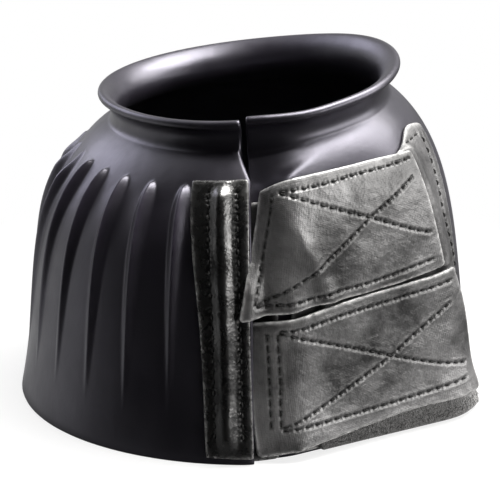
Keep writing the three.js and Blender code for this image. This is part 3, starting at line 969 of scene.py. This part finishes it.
@dataclass
class BellShell:
    """The moulded rubber bell with its ribs and rolled lip, cut down the front."""

    form: BellForm
    right_edge: float = -90.3
    left_edge: tuple[float, float, float] = (272.0, 271.0, 267.6)  # at the rim, the strip's top and the neck
    strip_top: float = 0.88  # the place of the facing strip's top
    lean_from: float = 251.0  # the angle past which the columns turn to follow the cut edge
    rib_count: int = 18
    rib_first: float = 249.8
    rib_pitch: float = 12.7
    rib_half: float = 3.3
    rib_height: float = 2.9
    rib_foot: float = 0.13
    rib_full: float = 0.71
    rib_head: float = 0.855
    far_sink: float = 0.6  # how much lower the heads of the ribs stand beyond the left side
    far_from: float = 198.0
    far_over: float = 10.0
    rim_round: float = 1.0
    edge_round: float = 0.9
    lip_start: float = 1.93  # where the lip's half circle starts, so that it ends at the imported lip

    def columns(self) -> Array:
        """Spaces the columns: close over the ribs and in the lap, wide where the wall is plain.

        Returns:
            Rising angles in degrees.
        """
        centres = self.rib_first - self.rib_pitch * np.arange(self.rib_count)
        beside = np.array([0.4, 0.8, 1.2, 1.7, 2.2, 2.7, 3.4])
        between = 5.85
        near = np.concatenate([-beside[::-1], [0.0], beside, [between]])
        ribs = (centres[:, None] + near[None]).ravel()
        lap_end, lap_step, plain_step, left_step = -70.0, 0.9, 1.9, 1.2
        last_rib = centres[-1] - 6.0
        lap = np.arange(self.right_edge, lap_end, lap_step)
        plain = np.arange(lap_end + 1.0, last_rib, plain_step)
        left = np.arange(self.rib_first + 5.2, self.left_edge[0] - 1.4, left_step)
        return np.unique(np.round(np.concatenate([lap, plain, ribs, left]), 3))

    def edges(self, place: Array) -> Array:
        """Angle of the left half's cut edge at each place, through its three values."""
        rim, strip, neck = self.left_edge
        return np.interp(place, [0.0, self.strip_top, 1.0, 2.0], [rim, strip, neck, neck])

    def rib(self, angle: Array, place: Array) -> Array:
        """How far the ribs stand out.

        Each rib widens from a point near the rim to a rounded head under the shoulder. Its section is a
        rounded ridge: a smooth hump with a narrower one on it. The heads are lower beyond the left side.

        Args:
            angle: degrees round the axis.
            place: 0 to 1 up the skirt.
        Returns:
            Height of the rib in mm.
        """
        index = np.clip(np.round((self.rib_first - angle) / self.rib_pitch), 0, self.rib_count - 1)
        off = np.abs(angle - (self.rib_first - index * self.rib_pitch))
        grow = np.clip((place - self.rib_foot) / (self.rib_full - self.rib_foot), 0, 1)
        round_off = np.clip((place - self.rib_full) / (self.rib_head - self.rib_full), 0, 1)
        end = np.sqrt(np.clip(1 - round_off**3, 0, 1))
        half = self.rib_half * (0.22 + 0.78 * grow**0.8) * (0.25 + 0.75 * end)
        x = np.clip(off / half, 0, 1)
        broad, narrow = 0.55, 0.45
        section = broad * (1 - smooth_step(x)) + narrow * (1 - x) ** 1.3
        far = smooth_step((self.far_from - angle) / self.far_over)
        far_side = 1.0 - self.far_sink * far * smooth_step((place - 0.70) / 0.12)
        return self.rib_height * grow**0.85 * end * section * far_side

    def profile(self) -> tuple[Array, Array, Array]:
        """The closed line round the wall.

        It runs up the outer face, over the lip in a half circle, down the inner face and back under the rim.

        Returns:
            Its places, and its distances from the outer face and steps past the lip, in mm.
        """
        rim = self.rim_round
        near_rim = 0.01
        climb = bezier(self.form.skirt, np.array([near_rim]))[0, 1] / near_rim  # mm of height to one place
        turn = np.array([0.0, 0.3, 0.7])
        low_place = turn * rim / climb
        low_out = -rim * (1 - np.sqrt(1 - (1 - turn) ** 2))
        places = np.concatenate(
            [
                np.linspace(rim / climb, 0.70, 34)[:-1],
                np.linspace(0.70, 1.0, 34)[:-1],
                np.linspace(1.0, self.lip_start, 24),
            ]
        )
        up_place = np.concatenate([low_place, places])
        up_out = np.concatenate([low_out, np.zeros(len(places))])
        arc = np.linspace(0, np.pi, 10)[1:-1]
        half = self.form.rubber / 2
        place = np.concatenate([up_place, np.full(len(arc), self.lip_start), up_place[::-1]])
        out = np.concatenate([up_out, -half + half * np.cos(arc), (-self.form.rubber - up_out)[::-1]])
        past = np.concatenate([np.zeros(len(up_place)), half * np.sin(arc), np.zeros(len(up_place))])
        return place, out, past

    def build(self, finish: Material) -> Piece:
        """Carries the profile round the bell and closes it at both cut edges.

        Args:
            finish: the rubber.
        Returns:
            The bell.
        """
        place, out, past = self.profile()
        angles = self.columns()
        per_mm = 1 / math.radians(1) / self.form.skirt[0][0]
        inset = np.array([0.0, 0.02, 0.12, 0.35, 0.8]) * self.edge_round
        half = self.form.rubber / 2
        squash = (np.sqrt(1 - (1 - inset / self.edge_round) ** 2) * self.edge_round) + half - self.edge_round
        squash = squash / half
        angles = np.concatenate(
            [angles[0] + inset * per_mm, angles[1:], self.left_edge[0] - (inset * per_mm)[::-1]]
        )
        keep = np.ones(len(angles))
        keep[: len(inset)] = squash
        keep[-len(inset) :] = squash[::-1]
        angle, row = np.meshgrid(angles, place)
        turn_in = smooth_step((angle - self.lean_from) / (self.left_edge[0] - self.lean_from))
        angle = angle + turn_in * (self.edges(row) - self.left_edge[0])
        distance = np.broadcast_to(out[:, None], row.shape).copy()
        outside = np.zeros(len(place), bool)
        outside[: len(place) // 2] = True
        ribs = np.where(outside[:, None] & (row <= 1), self.rib(angle, row), 0.0)
        distance = -half + (distance + half) * keep[None] + ribs
        points = self.form.layer(angle, row, distance)
        before = self.form.wall(angle, np.full_like(row, self.lip_start - 0.005))
        step = unit(self.form.wall(angle, np.full_like(row, self.lip_start)) - before)
        points = points + step * (past[:, None] * keep[None])[..., None]
        rows, columns = row.shape
        faces = grid_faces(rows, columns)
        first = np.arange(columns - 1)
        last = (rows - 1) * columns + first
        under = np.stack([last, last + 1, first + 1, first], 1)
        level = np.arange(rows // 2 - 1)
        right = np.stack([level, level + 1, rows - 2 - level, rows - 1 - level], 1) * columns
        left = right[:, ::-1] + columns - 1
        faces = np.concatenate([faces, under, right, left])
        crest = np.clip(ribs / self.rib_height, 0, 1) ** 3
        piece = make_mesh(
            "bell", self.form.to_frame(points.reshape(-1, 3)), faces, finish, {"crest": crest.ravel()}
        )
        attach(piece, "boot")
        LOG.info("bell: %d columns, %d rows, %d faces", columns, rows, len(piece.data.polygons))
        return dress(piece, Slot.RUBBER, "bell_shell")


# ---------------------------------------------------------------------------------------------------------
# The closure
# ---------------------------------------------------------------------------------------------------------


def flat_at(distance: float) -> Callable[[Array, Array], Array]:
    """A sheet whose inner face keeps one distance from the wall."""
    return lambda angle, height: np.full_like(angle, distance)


@dataclass
class Facing:
    """The vinyl strip down the left half's edge, puffed between its two rows of stitches."""

    form: BellForm
    puff: float = 2.3
    margin_left: tuple[float, ...] = (262.0, 260.9, 258.5)  # the left row, at foot, middle and top
    margin_right: tuple[float, ...] = (269.0, 268.3, 267.2)
    row_heights: tuple[float, ...] = (8.0, 49.0, 89.8)

    def rise(self, angle: Array, height: Array) -> Array:
        """A rounded hump between the two rows: a sine squared across, with slack that comes and goes.

        Args:
            angle: degrees round the axis.
            height: mm up the bell.
        Returns:
            Height of the hump in mm.
        """
        long_slack, short_slack, kept_at_ends = 0.10, 0.07, 0.25
        t = height / 90.0
        left, right = through(self.margin_left, t), through(self.margin_right, t)
        x = np.clip((angle - left) / (right - left - 0.4), 0, 1)
        slack = 1.0 + long_slack * np.sin(height / 6.1) + short_slack * np.sin(height / 2.3 + 1.0)
        ends = smooth_step((height - 3.0) / 7.0) * smooth_step((91.5 - height) / 4.0)
        return self.puff * np.sin(np.pi * x) ** 2 * slack * (kept_at_ends + (1 - kept_at_ends) * ends)

    def build(self, finish: Finishes) -> list[Piece]:
        """Makes the strip and its stitches.

        Args:
            finish: the boot's materials.
        Returns:
            Both pieces.
        """
        margins = (self.margin_left, self.margin_right)
        rows = tuple(Row(tuple(zip(margin, self.row_heights))) for margin in margins)
        strip = Sheet(
            self.form,
            left=(260.0, 257.6, 252.4),
            right=(271.5, 270.8, 270.6),
            foot=(2.6, 2.3),
            top=(92.4, 92.8),
            base=flat_at(0.3),
            thick=1.1,
            cell=0.42,
            corner=(0.8, 0.8, 0.8, 0.8),
            rows=rows,
            relief=self.rise,
            groove=0.08,
            pucker=0.05,
        )
        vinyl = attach(strip.build("facing_strip", finish.vinyl), "boot")
        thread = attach(strip.sew("facing_stitches", finish.thread), "boot")
        return [
            dress(vinyl, Slot.VINYL, "left_facing_strip"),
            dress(thread, Slot.THREAD, "facing_strip_stitching"),
        ]


@dataclass
class Panel:
    """The stiff panel on the right half that carries the loop tapes, and the tongue behind the slit."""

    form: BellForm
    welt: float = 2.3  # height of the ridge beside the upper strap's end, in mm
    welt_off: float = 3.6  # how far it lies to the right of that end, in degrees
    welt_half: float = 2.7
    free_edge: float = -24.0  # the angle where the free right edge starts to stand off
    stand_off: float = 0.5

    def wave(self, angle: Array, height: Array) -> Array:
        """The right margin: a welt beside the upper strap's end, and shallow waves in the free edge.

        Args:
            angle: degrees round the axis.
            height: mm up the bell.
        Returns:
            Height of the face over the plain panel, in mm.
        """
        strap_end = through(UPPER_STRAP_END, (height - 54.9) / 35.0)
        welt = self.welt * bump((angle - strap_end - self.welt_off) / self.welt_half)
        welt = welt * smooth_step((height - 50.0) / 3.0) * smooth_step((92.5 - height) / 3.0)
        edge = self.stand_off * smooth_step((angle - self.free_edge) / 5.0)
        return welt + edge * (1 + 0.4 * np.sin(height / 7.0))

    def build(self, finish: Finishes) -> list[Piece]:
        """Makes the panel, its stitches and the tongue.

        Args:
            finish: the boot's materials.
        Returns:
            The three pieces.
        """
        rows = (
            Row(((-21.6, 90.5), (-22.6, 80.4), (-23.0, 69.0), (-20.0, 54.7), (-18.4, 45.0))),
            Row(((-22.6, 91.4), (-34.0, 91.6))),
        )
        panel = Sheet(
            self.form,
            left=(-78.0, -78.0),
            right=(-16.0, -17.6, -18.6, -17.6),
            foot=(1.2, 1.2),
            top=(88.5, 89.2, 89.4, 89.4, 90.6, 94.3, 93.0),
            base=flat_at(0.3),
            thick=1.2,
            cell=0.5,
            corner=(1.0, 1.5, 1.5, 2.0),
            rows=rows,
            relief=self.wave,
        )
        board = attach(panel.build("panel_board", finish.panel), "boot")
        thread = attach(panel.sew("panel_stitches", finish.thread), "boot")
        tongue = Sheet(
            self.form,
            left=(-104.0, -104.0),
            right=(-81.4, -81.4),
            foot=(0.5, 0.5),
            top=(87.0, 87.0),
            base=flat_at(0.4),
            thick=1.2,
            cell=0.9,
        )
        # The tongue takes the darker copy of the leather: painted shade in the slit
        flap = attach(tongue.build("tongue", finish.tongue), "boot")
        return [
            dress(board, Slot.VINYL, "closure_panel"),
            dress(thread, Slot.THREAD, "closure_panel_stitching"),
            dress(flap, Slot.LEATHER, "anchor_tongue"),
        ]


@dataclass
class Strap:
    """A leather strap sewn to the tongue, the hook tape on its back, and the loop tape under it."""

    form: BellForm
    name: str
    joint: dict
    left: tuple[float, ...]
    right: tuple[float, ...]
    foot: tuple[float, ...]
    top: tuple[float, ...]
    rows: tuple[Row, ...]
    lift: Callable[[Array, Array], Array]
    corner: tuple[float, float, float, float]
    tape_foot: float
    tape_top: float
    hook_right: float
    loop_right: tuple[float, ...]  # from foot to top
    loop_foot: float
    tape_left: float = -70.0
    low: float = 2.0  # inner face over the tongue
    high: float = 5.1  # inner face over the tapes
    climb: tuple[float, float] = (-88.0, -79.0)
    thick: float = 1.5
    hook_base: float = 3.9
    hook_thick: float = 0.9
    loop_thick: float = 1.3
    fold_reach: float = 3.2  # how far the bend goes each side of the hinge
    hook_root: float = 4.0
    hook_pitch: Point = (1.25, 1.6)  # degrees across and mm up from hook to hook
    hook_wire: float = 0.22
    fibre_count: int = 1500
    fibre_wire: float = 0.16
    fibre_root: float = 1.15

    def base(self, angle: Array, height: Array) -> Array:
        """The inner face climbs from the tongue onto the tapes, and has the strap's own folds and swells."""
        climb = smooth_step((angle - self.climb[0]) / (self.climb[1] - self.climb[0]))
        return self.low + (self.high - self.low) * climb + self.lift(angle, height)

    def sheet(self) -> Sheet:
        """The strap's leather."""
        return Sheet(
            self.form,
            left=self.left,
            right=self.right,
            foot=self.foot,
            top=self.top,
            base=self.base,
            thick=self.thick,
            cell=0.42,
            corner=self.corner,
            edge_round=0.6,
            rows=self.rows,
        )

    def fold(self, piece: Piece) -> Piece:
        """Bakes a piece's placing into its mesh; the hinge's pivot and the line across it are worked out, but
        the piece is not bent.

        Args:
            piece: a piece that reaches from the sewn end to the free part.
        Returns:
            The same piece.
        """
        pivot = np.array(self.joint["pos_m"])
        across = np.cross(np.array(self.joint["axis"]), pivot * [1, 1, 0])
        across = unit(across) * (1 if across[0] > 0 else -1)
        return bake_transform(piece)

    def build(self, finish: Finishes) -> list[Piece]:
        """Makes the leather, the stitches, the hook tape with its hooks and the loop tape with its nap.

        Args:
            finish: the boot's materials.
        Returns:
            The six pieces.
        """
        child = self.joint["child"]
        leather = self.sheet()
        strap = self.fold(leather.build(f"{self.name}_strap_leather", finish.strap))
        thread = self.fold(leather.sew(f"{self.name}_strap_stitches", finish.thread))
        side, top = (self.tape_left,) * 2, (self.tape_top,) * 2
        hooks = Sheet(
            self.form,
            left=side,
            right=(self.hook_right,) * 2,
            foot=(self.tape_foot,) * 2,
            top=top,
            base=flat_at(self.hook_base),
            thick=self.hook_thick,
            cell=1.0,
        ).build(f"{self.name}_hook_ground", finish.hooks)
        loops = Sheet(
            self.form,
            left=side,
            right=self.loop_right,
            foot=(self.loop_foot,) * 2,
            top=top,
            base=loop_base,
            thick=self.loop_thick,
            cell=0.7,
        ).build(f"{self.name}_loop_ground", finish.fleece)
        crooks = self.crooks(finish.hooks)
        nap = self.nap(finish.fleece)
        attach(hooks, child)
        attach(crooks, child)
        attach(loops, "boot")
        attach(nap, "boot")
        return [
            dress(strap, Slot.LEATHER, f"{self.name}_strap", f"{self.name}_strap_sewn_end"),
            dress(thread, Slot.THREAD, f"{self.name}_strap_stitching", f"{self.name}_anchor_stitching"),
            dress(hooks, Slot.HOOKS, f"{self.name}_hook_tape"),
            dress(loops, Slot.FLEECE, f"{self.name}_loop_tape"),
            crooks,
            nap,
        ]

    def strands(self, name: str, roots: Array, tips: Array, thick: float, finish: Material) -> Piece:
        """Makes many bent hairs, each a closed three-sided tube through five points.

        Args:
            name: the piece's name.
            roots: N by 3, where each leaves the tape, in mm.
            tips: N by 5 by 3, the points that each passes through, in mm.
            thick: a hair's diameter, in mm.
            finish: its material.
        Returns:
            The hairs as one piece.
        """
        path = tips + roots[:, None]
        along = unit(np.gradient(path, axis=1))
        side = unit(np.cross(along, np.array([0.31, 0.17, 0.93])))
        up = np.cross(side, along)
        sides = 3
        turn = np.arange(sides + 1) * 2 * np.pi / sides
        radius = thick / 2 * np.array([0.0, 1.0, 1.0, 1.0, 0.0])
        points = tubes(path, side, up, radius, turn).reshape(-1, 3)
        faces = tube_faces(len(path), len(radius), sides)
        return make_mesh(name, self.form.to_frame(points), faces, finish)

    def crooks(self, finish: Material) -> Piece:
        """The hooks: rows of small crooks that stand on the tape's inner face and bend over.

        Args:
            finish: the hook tape's material.
        Returns:
            The hooks as one piece.
        """
        angle, height = np.meshgrid(
            np.arange(self.tape_left + 1.2, self.hook_right - 1.0, self.hook_pitch[0]),
            np.arange(self.tape_foot + 1.5, self.tape_top - 1.4, self.hook_pitch[1]),
        )
        angle, height = angle.ravel(), height.ravel()
        place = self.form.place_of(height)
        root = self.form.layer(angle, place, np.full_like(angle, self.hook_root))
        inward = -self.form.normal(angle, place)
        over = unit(np.cross(inward, np.array([0.0, 0.0, 1.0])))
        shape = np.array([[0.0, 0.0], [0.45, 0.0], [0.75, 0.12], [0.78, 0.38], [0.55, 0.5]])
        tips = inward[:, None] * shape[None, :, :1] + over[:, None] * shape[None, :, 1:]
        return self.strands(f"{self.name}_hooks", root, tips, self.hook_wire, finish)

    def nap(self, finish: Material) -> Piece:
        """The loops: fine curled fibres on the loop tape, a third of them along its foot.

        Args:
            finish: the loop tape's material.
        Returns:
            The fibres as one piece.
        """
        draw = np.random.default_rng(SEED)
        count = self.fibre_count
        height = draw.uniform(self.loop_foot + 0.9, self.tape_top - 0.3, count)
        foot = slice(0, count // 3)
        height[foot] = self.loop_foot + 0.9 + np.abs(draw.normal(0, 2.4, count // 3))
        right = through(self.loop_right, (height - self.loop_foot) / (self.tape_top - self.loop_foot))
        angle = self.tape_left + 0.5 + (right - self.tape_left - 0.7) * draw.uniform(0, 1, count)
        place = self.form.place_of(height)
        root = self.form.layer(angle, place, loop_base(angle, height) + self.fibre_root)
        out = self.form.normal(angle, place)
        aside = unit(np.cross(out, draw.normal(size=(count, 3))))
        reach = draw.uniform(0.25, 0.7, count)[:, None, None]
        shape = np.array([[-0.1, 0.0], [0.7, 0.2], [0.9, 0.9], [0.5, 1.5], [-0.1, 1.7]])
        tips = (out[:, None] * shape[None, :, :1] * 0.6 + aside[:, None] * shape[None, :, 1:]) * reach
        return self.strands(f"{self.name}_loop_nap", root, tips, self.fibre_wire, finish)


def loop_base(angle: Array, height: Array) -> Array:
    """Distance of a loop tape's inner face: flat on the panel, but its right foot corner stands off."""
    on_panel, stand_off = 1.75, 1.8
    return on_panel + stand_off * smooth_step((angle + 30.0) / 13.0) * smooth_step((16.0 - height) / 14.0)


def upper_lift(angle: Array, height: Array) -> Array:
    """The upper strap's shape, in mm from the plain strap.

    A slack fold runs from its top left corner down to the right: a ridge, and a hollow to its left. Between
    the seams are soft swells, a sine across times a sine up, and finer creases near the middle. All of them
    die out at the left end, whose foot corner rises over the facing strip.

    Args:
        angle: degrees round the axis.
        height: mm up the bell.
    Returns:
        How far the strap's inner face is lifted, in mm.
    """
    fold_top, fold_left, fold_slope = 88.0, -84.0, 0.42
    fold_depth, swell_depth, crease_depth, corner_rise = 0.9, 0.22, 0.16, 5.0
    down = fold_top - height
    off = angle - (fold_left + down * fold_slope)
    ridge = fold_depth * bump((off - 1.0) / 2.8)
    hollow = fold_depth * bump((off + 5.5) / 4.2) * smooth_step(down / 9.0)
    swell = swell_depth * np.sin((angle + 20.0) / 6.5 + height / 9.0) * np.sin(height / 7.5 + 0.7)
    crease = crease_depth * np.sin(angle / 1.9 - height / 4.3) * bump((angle + 55.0) / 17.0)
    end = smooth_step((angle + 92.0) / 4.0)
    rise = corner_rise * smooth_step((-84.5 - angle) / 5.0) * smooth_step((73.0 - height) / 15.0)
    return (ridge - hollow + swell + crease) * end + rise


def lower_lift(angle: Array, height: Array) -> Array:
    """The lower strap's shape, in mm from the plain strap.

    It has soft swells, a sine across times a sine up, a low ridge near its left end, and a right foot corner
    that curls off the boot.

    Args:
        angle: degrees round the axis.
        height: mm up the bell.
    Returns:
        How far the strap's inner face is lifted, in mm.
    """
    swell_depth, ridge_height, corner_curl = 0.30, 0.5, 2.4
    swell = swell_depth * np.sin((angle + 35.0) / 7.5 - height / 12.0) * np.sin(height / 8.5)
    ridge = ridge_height * bump((angle + 84.0) / 3.5)
    across, down = smooth_step((angle + 34.0) / 14.0), smooth_step((24.0 - height) / 20.0)
    return swell + ridge + corner_curl * across**2 * down**2


# ---------------------------------------------------------------------------------------------------------
# The studio
# ---------------------------------------------------------------------------------------------------------


@dataclass(frozen=True)
class Softbox:
    """An oblong soft lamp: its direction from the boot in degrees, its distance and sides in metres."""

    name: str
    azimuth: float
    elevation: float
    distance: float
    width: float
    height: float
    bright: float
    tint: tuple[float, float, float] = (1.0, 1.0, 1.0)

    def build(self, aim: Array) -> None:
        """Hangs the lamp, facing the boot; its power is brightness times area times pi.

        Args:
            aim: the point it faces, in metres.
        """
        lamp = bpy.data.lights.new(self.name, "AREA")
        lamp.shape = "RECTANGLE"
        lamp.size, lamp.size_y = self.width, self.height
        lamp.energy = self.bright * self.width * self.height * math.pi
        lamp.color = self.tint
        a, e = math.radians(self.azimuth), math.radians(self.elevation)
        away = np.array([math.cos(a) * math.cos(e), math.sin(a) * math.cos(e), math.sin(e)])
        holder = bpy.data.objects.new(self.name, lamp)
        bpy.context.scene.collection.objects.link(holder)
        holder.location = aim + away * self.distance
        holder.rotation_mode = "QUATERNION"
        holder.rotation_quaternion = Vector(-away).to_track_quat("-Z", "Y")


@dataclass(frozen=True)
class Studio:
    """A white table in a white room, soft lamps and the camera."""

    form: BellForm
    camera_distance: float = 1.150
    camera_elevation: float = 18.72
    lens: float = 240.0
    aim_height: float = 0.055
    look: Point = (0.00106, -0.00615)  # how far the middle of the view is from the aim, right and up
    ambient: float = 0.06
    front_dark: float = 0.010  # what a shiny surface sees of the room behind the camera
    back_white: float = 0.75  # and of the room round the rest
    room_dark: Point = (0.02, 0.22)  # how far back the room is still dark and first white, as directions
    table_dark: Point = (-0.10, -0.03)  # and the table, in metres
    rightward: float = 0.85  # how much of a step to the right counts as a step back
    table_share: Point = (0.85, 0.34)  # how much of that the table shows, left and right
    table_sides: Point = (-0.05, 0.05)  # where its left and right parts end, in metres
    under_boot: Point = (0.074, 0.086)  # from the middle to here, a shiny surface finds the table black
    shadow_reach: Point = (0.075, 0.20)  # where the boot's shadow starts to fade and is faintest
    lamps: tuple[Softbox, ...] = (
        Softbox("key_right", -15.0, 10.0, 0.85, 0.95, 0.42, 5.9, (1.0, 0.98, 0.96)),
        Softbox("top_right", 14.0, 52.0, 0.72, 0.52, 0.56, 8.2, (1.0, 0.98, 0.955)),
        Softbox("overhead", 4.0, 76.0, 0.60, 0.50, 0.44, 15.0, (1.0, 0.98, 0.955)),
        Softbox("back_left", 138.0, 23.0, 0.80, 0.42, 0.34, 3.0, (0.85, 0.84, 1.0)),
    )

    def floor(self) -> None:
        """A white table that shows the boot's shadow and turns pure white away from it."""
        reach = 6.0
        corner = np.array([[-reach, -reach, 0], [reach, -reach, 0], [reach, reach, 0], [-reach, reach, 0]])
        coat = Coat("table_white")
        coat.set(Base_Color=grey(0.8), Roughness=0.7, Specular_IOR_Level=0.1)
        off = coat.add("VectorMath", {"operation": "LENGTH"})
        coat.put(off.inputs[0], coat.place)
        clean = coat.span(off.outputs["Value"], *self.shadow_reach, 0.80, 1.0)
        path = coat.add("LightPath").outputs
        eye = coat.math("MAXIMUM", path["Is Camera Ray"], path["Is Transmission Ray"])
        around = self.backdrop(coat, coat.place, *self.table_dark)
        mirrored = coat.math("MULTIPLY", path["Is Glossy Ray"], around)
        sideways = coat.add("SeparateXYZ", Vector=coat.place).outputs["X"]
        mirrored = coat.math("MULTIPLY", mirrored, coat.span(sideways, *self.table_sides, *self.table_share))
        beyond = coat.span(off.outputs["Value"], *self.under_boot, 0.0, 1.0)
        mirrored = coat.math("MULTIPLY", mirrored, beyond)
        glow = coat.add("Emission", Strength=coat.math("MAXIMUM", eye, mirrored))
        share = coat.math("MAXIMUM", coat.math("MULTIPLY", clean, eye), path["Is Glossy Ray"])
        mixed = coat.add("MixShader")
        coat.put(mixed.inputs[0], share)
        coat.put(mixed.inputs[1], coat.shader.outputs[0])
        coat.put(mixed.inputs[2], glow.outputs[0])
        out = next(n for n in coat.tree.nodes if n.type == "OUTPUT_MATERIAL")
        coat.put(out.inputs["Surface"], mixed.outputs[0])
        table = make_mesh("table", corner, np.array([[0, 1, 2, 3]]), coat.material)

    def backdrop(self, coat: Coat, place: Socket, low: float, high: float) -> Socket:
        """How white a mirrored ray finds the room: dark in front and to the left, white at the back.

        Args:
            coat: the node tree.
            place: a point or a direction.
            low: the mix of its y and x under which it is dark.
            high: the mix over which it is white.
        Returns:
            The level, 0 to 1.
        """
        axes = coat.add("SeparateXYZ", Vector=place).outputs
        rightward = coat.math("MULTIPLY", coat.math("MAXIMUM", axes["X"], 0.0), self.rightward)
        return coat.span(coat.math("ADD", axes["Y"], rightward), low, high, self.front_dark, self.back_white)

    def room(self) -> None:
        """A plain room: white to the eye and behind the boot, dark behind the camera, and a dim light."""
        world = bpy.data.worlds.new("room")
        bpy.context.scene.world = world
        world.use_nodes = True
        coat = Coat.of(world.node_tree)
        path = coat.add("LightPath").outputs
        sky = self.backdrop(coat, coat.add("TexCoord").outputs["Generated"], *self.room_dark)
        mirrored = coat.math("MULTIPLY", path["Is Glossy Ray"], sky)
        rays = coat.math("MAXIMUM", path["Is Camera Ray"], path["Is Transmission Ray"])
        direct = coat.math("MAXIMUM", rays, path["Is Glossy Ray"])
        dim = coat.math("MULTIPLY", coat.math("SUBTRACT", 1.0, direct), self.ambient)
        level = coat.math("MAXIMUM", coat.math("MAXIMUM", rays, mirrored), dim)
        back_drop = coat.add("Background", Strength=level)
        out = coat.add("OutputWorld")
        coat.put(out.inputs["Surface"], back_drop.outputs[0])

    def camera(self) -> None:
        """A long lens a little above the boot, straight in front of it."""
        aim = self.form.shift + np.array([0.0, 0.0, self.aim_height])
        tip = math.radians(self.camera_elevation)
        back = np.array([0.0, -math.cos(tip), math.sin(tip)])
        up = np.array([0.0, math.sin(tip), math.cos(tip)])
        eye = aim + back * self.camera_distance
        target = aim + np.array([self.look[0], 0.0, 0.0]) + up * self.look[1]
        data = bpy.data.cameras.new("camera")
        data.lens = self.lens
        data.sensor_width = 36.0
        data.clip_start, data.clip_end = 0.05, 50.0
        holder = bpy.data.objects.new("camera", data)
        bpy.context.scene.collection.objects.link(holder)
        holder.location = eye
        holder.rotation_mode = "QUATERNION"
        holder.rotation_quaternion = Vector(target - eye).to_track_quat("-Z", "Y")
        bpy.context.scene.camera = holder

    def build(self) -> None:
        """Sets up the table, the room, the lamps and the camera."""
        self.floor()
        self.room()
        aim = self.form.shift + np.array([0.0, 0.0, self.aim_height])
        for lamp in self.lamps:
            lamp.build(aim)
        self.camera()
        bpy.context.scene.view_settings.view_transform = "Standard"


def straps(form: BellForm, joints: dict[str, dict]) -> list[Strap]:
    """The two straps, with their outlines and rows of stitches.

    Args:
        form: the bell's wall.
        joints: the frame's joints by name.
    Returns:
        The upper strap and the lower one.
    """
    upper = Strap(
        form,
        "upper",
        joints["upper_strap_hinge"],
        left=(-92.0, -89.3, -86.4),
        right=UPPER_STRAP_END,
        foot=(48.8, 51.7, 52.6, 53.4, 54.9),
        top=(89.6, 91.1, 91.3, 91.0, 90.0),
        rows=(
            Row(((-82.6, 87.8), (-85.4, 72.0), (-88.0, 53.3))),
            Row(((-81.2, 87.8), (-60.0, 88.8), (-38.6, 88.4))),
            Row(((-88.0, 53.3), (-72.0, 55.2), (-50.0, 56.4), (-33.7, 58.4))),
            Row(((-81.2, 87.8), (-54.9, 76.5), (-34.7, 66.8))),
            Row(((-39.0, 84.0), (-54.9, 76.5), (-76.0, 62.2), (-88.0, 53.3))),
        ),
        lift=upper_lift,
        corner=(1.6, 1.6, 1.2, 1.4),
        tape_foot=56.0,
        tape_top=90.0,
        hook_right=-40.0,
        loop_right=(-32.0, -35.6, -39.0),
        loop_foot=56.0,
    )
    lower = Strap(
        form,
        "lower",
        joints["lower_strap_hinge"],
        left=(-86.9, -88.9, -89.4),
        right=(-20.6, -22.2, -27.4),
        foot=(1.9, 4.4, 6.7, 8.4, 8.2),
        top=(47.2, 50.2, 51.9, 52.5, 53.1),
        rows=(
            Row(((-84.9, 44.4), (-84.2, 11.0))),
            Row(((-82.9, 44.6), (-82.3, 11.0))),
            Row(((-82.9, 44.8), (-64.0, 47.4), (-45.0, 48.3), (-28.4, 49.4))),
            Row(((-82.3, 10.6), (-66.0, 11.6), (-44.0, 12.6), (-24.6, 14.4))),
            Row(((-82.9, 44.4), (-46.8, 29.0), (-24.4, 19.6))),
            Row(((-28.8, 42.3), (-46.8, 29.0), (-82.3, 11.4))),
        ),
        lift=lower_lift,
        corner=(1.8, 4.0, 1.2, 1.2),
        tape_foot=11.0,
        tape_top=51.0,
        hook_right=-31.0,
        loop_right=(-16.0, -18.0, -29.5),
        loop_foot=0.6,
    )
    return [upper, lower]


def main() -> None:
    """Builds the boot and the studio in order."""
    logging.basicConfig(level=logging.INFO, format="%(name)s %(message)s")
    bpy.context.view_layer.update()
    form = BellForm()
    form.fit("bell_shell")
    finish = Finishes()
    joints = {joint["name"]: joint for joint in frame["joints"]}
    Studio(form).build()
    pieces = [BellShell(form).build(finish.rubber)]
    pieces += Facing(form).build(finish)
    pieces += Panel(form).build(finish)
    for strap in straps(form, joints):
        pieces += strap.build(finish)
    for piece in pieces:
        LOG.info("piece %s: %d vertices", piece.name, len(piece.data.vertices))


if __name__ == "__main__":
    main()
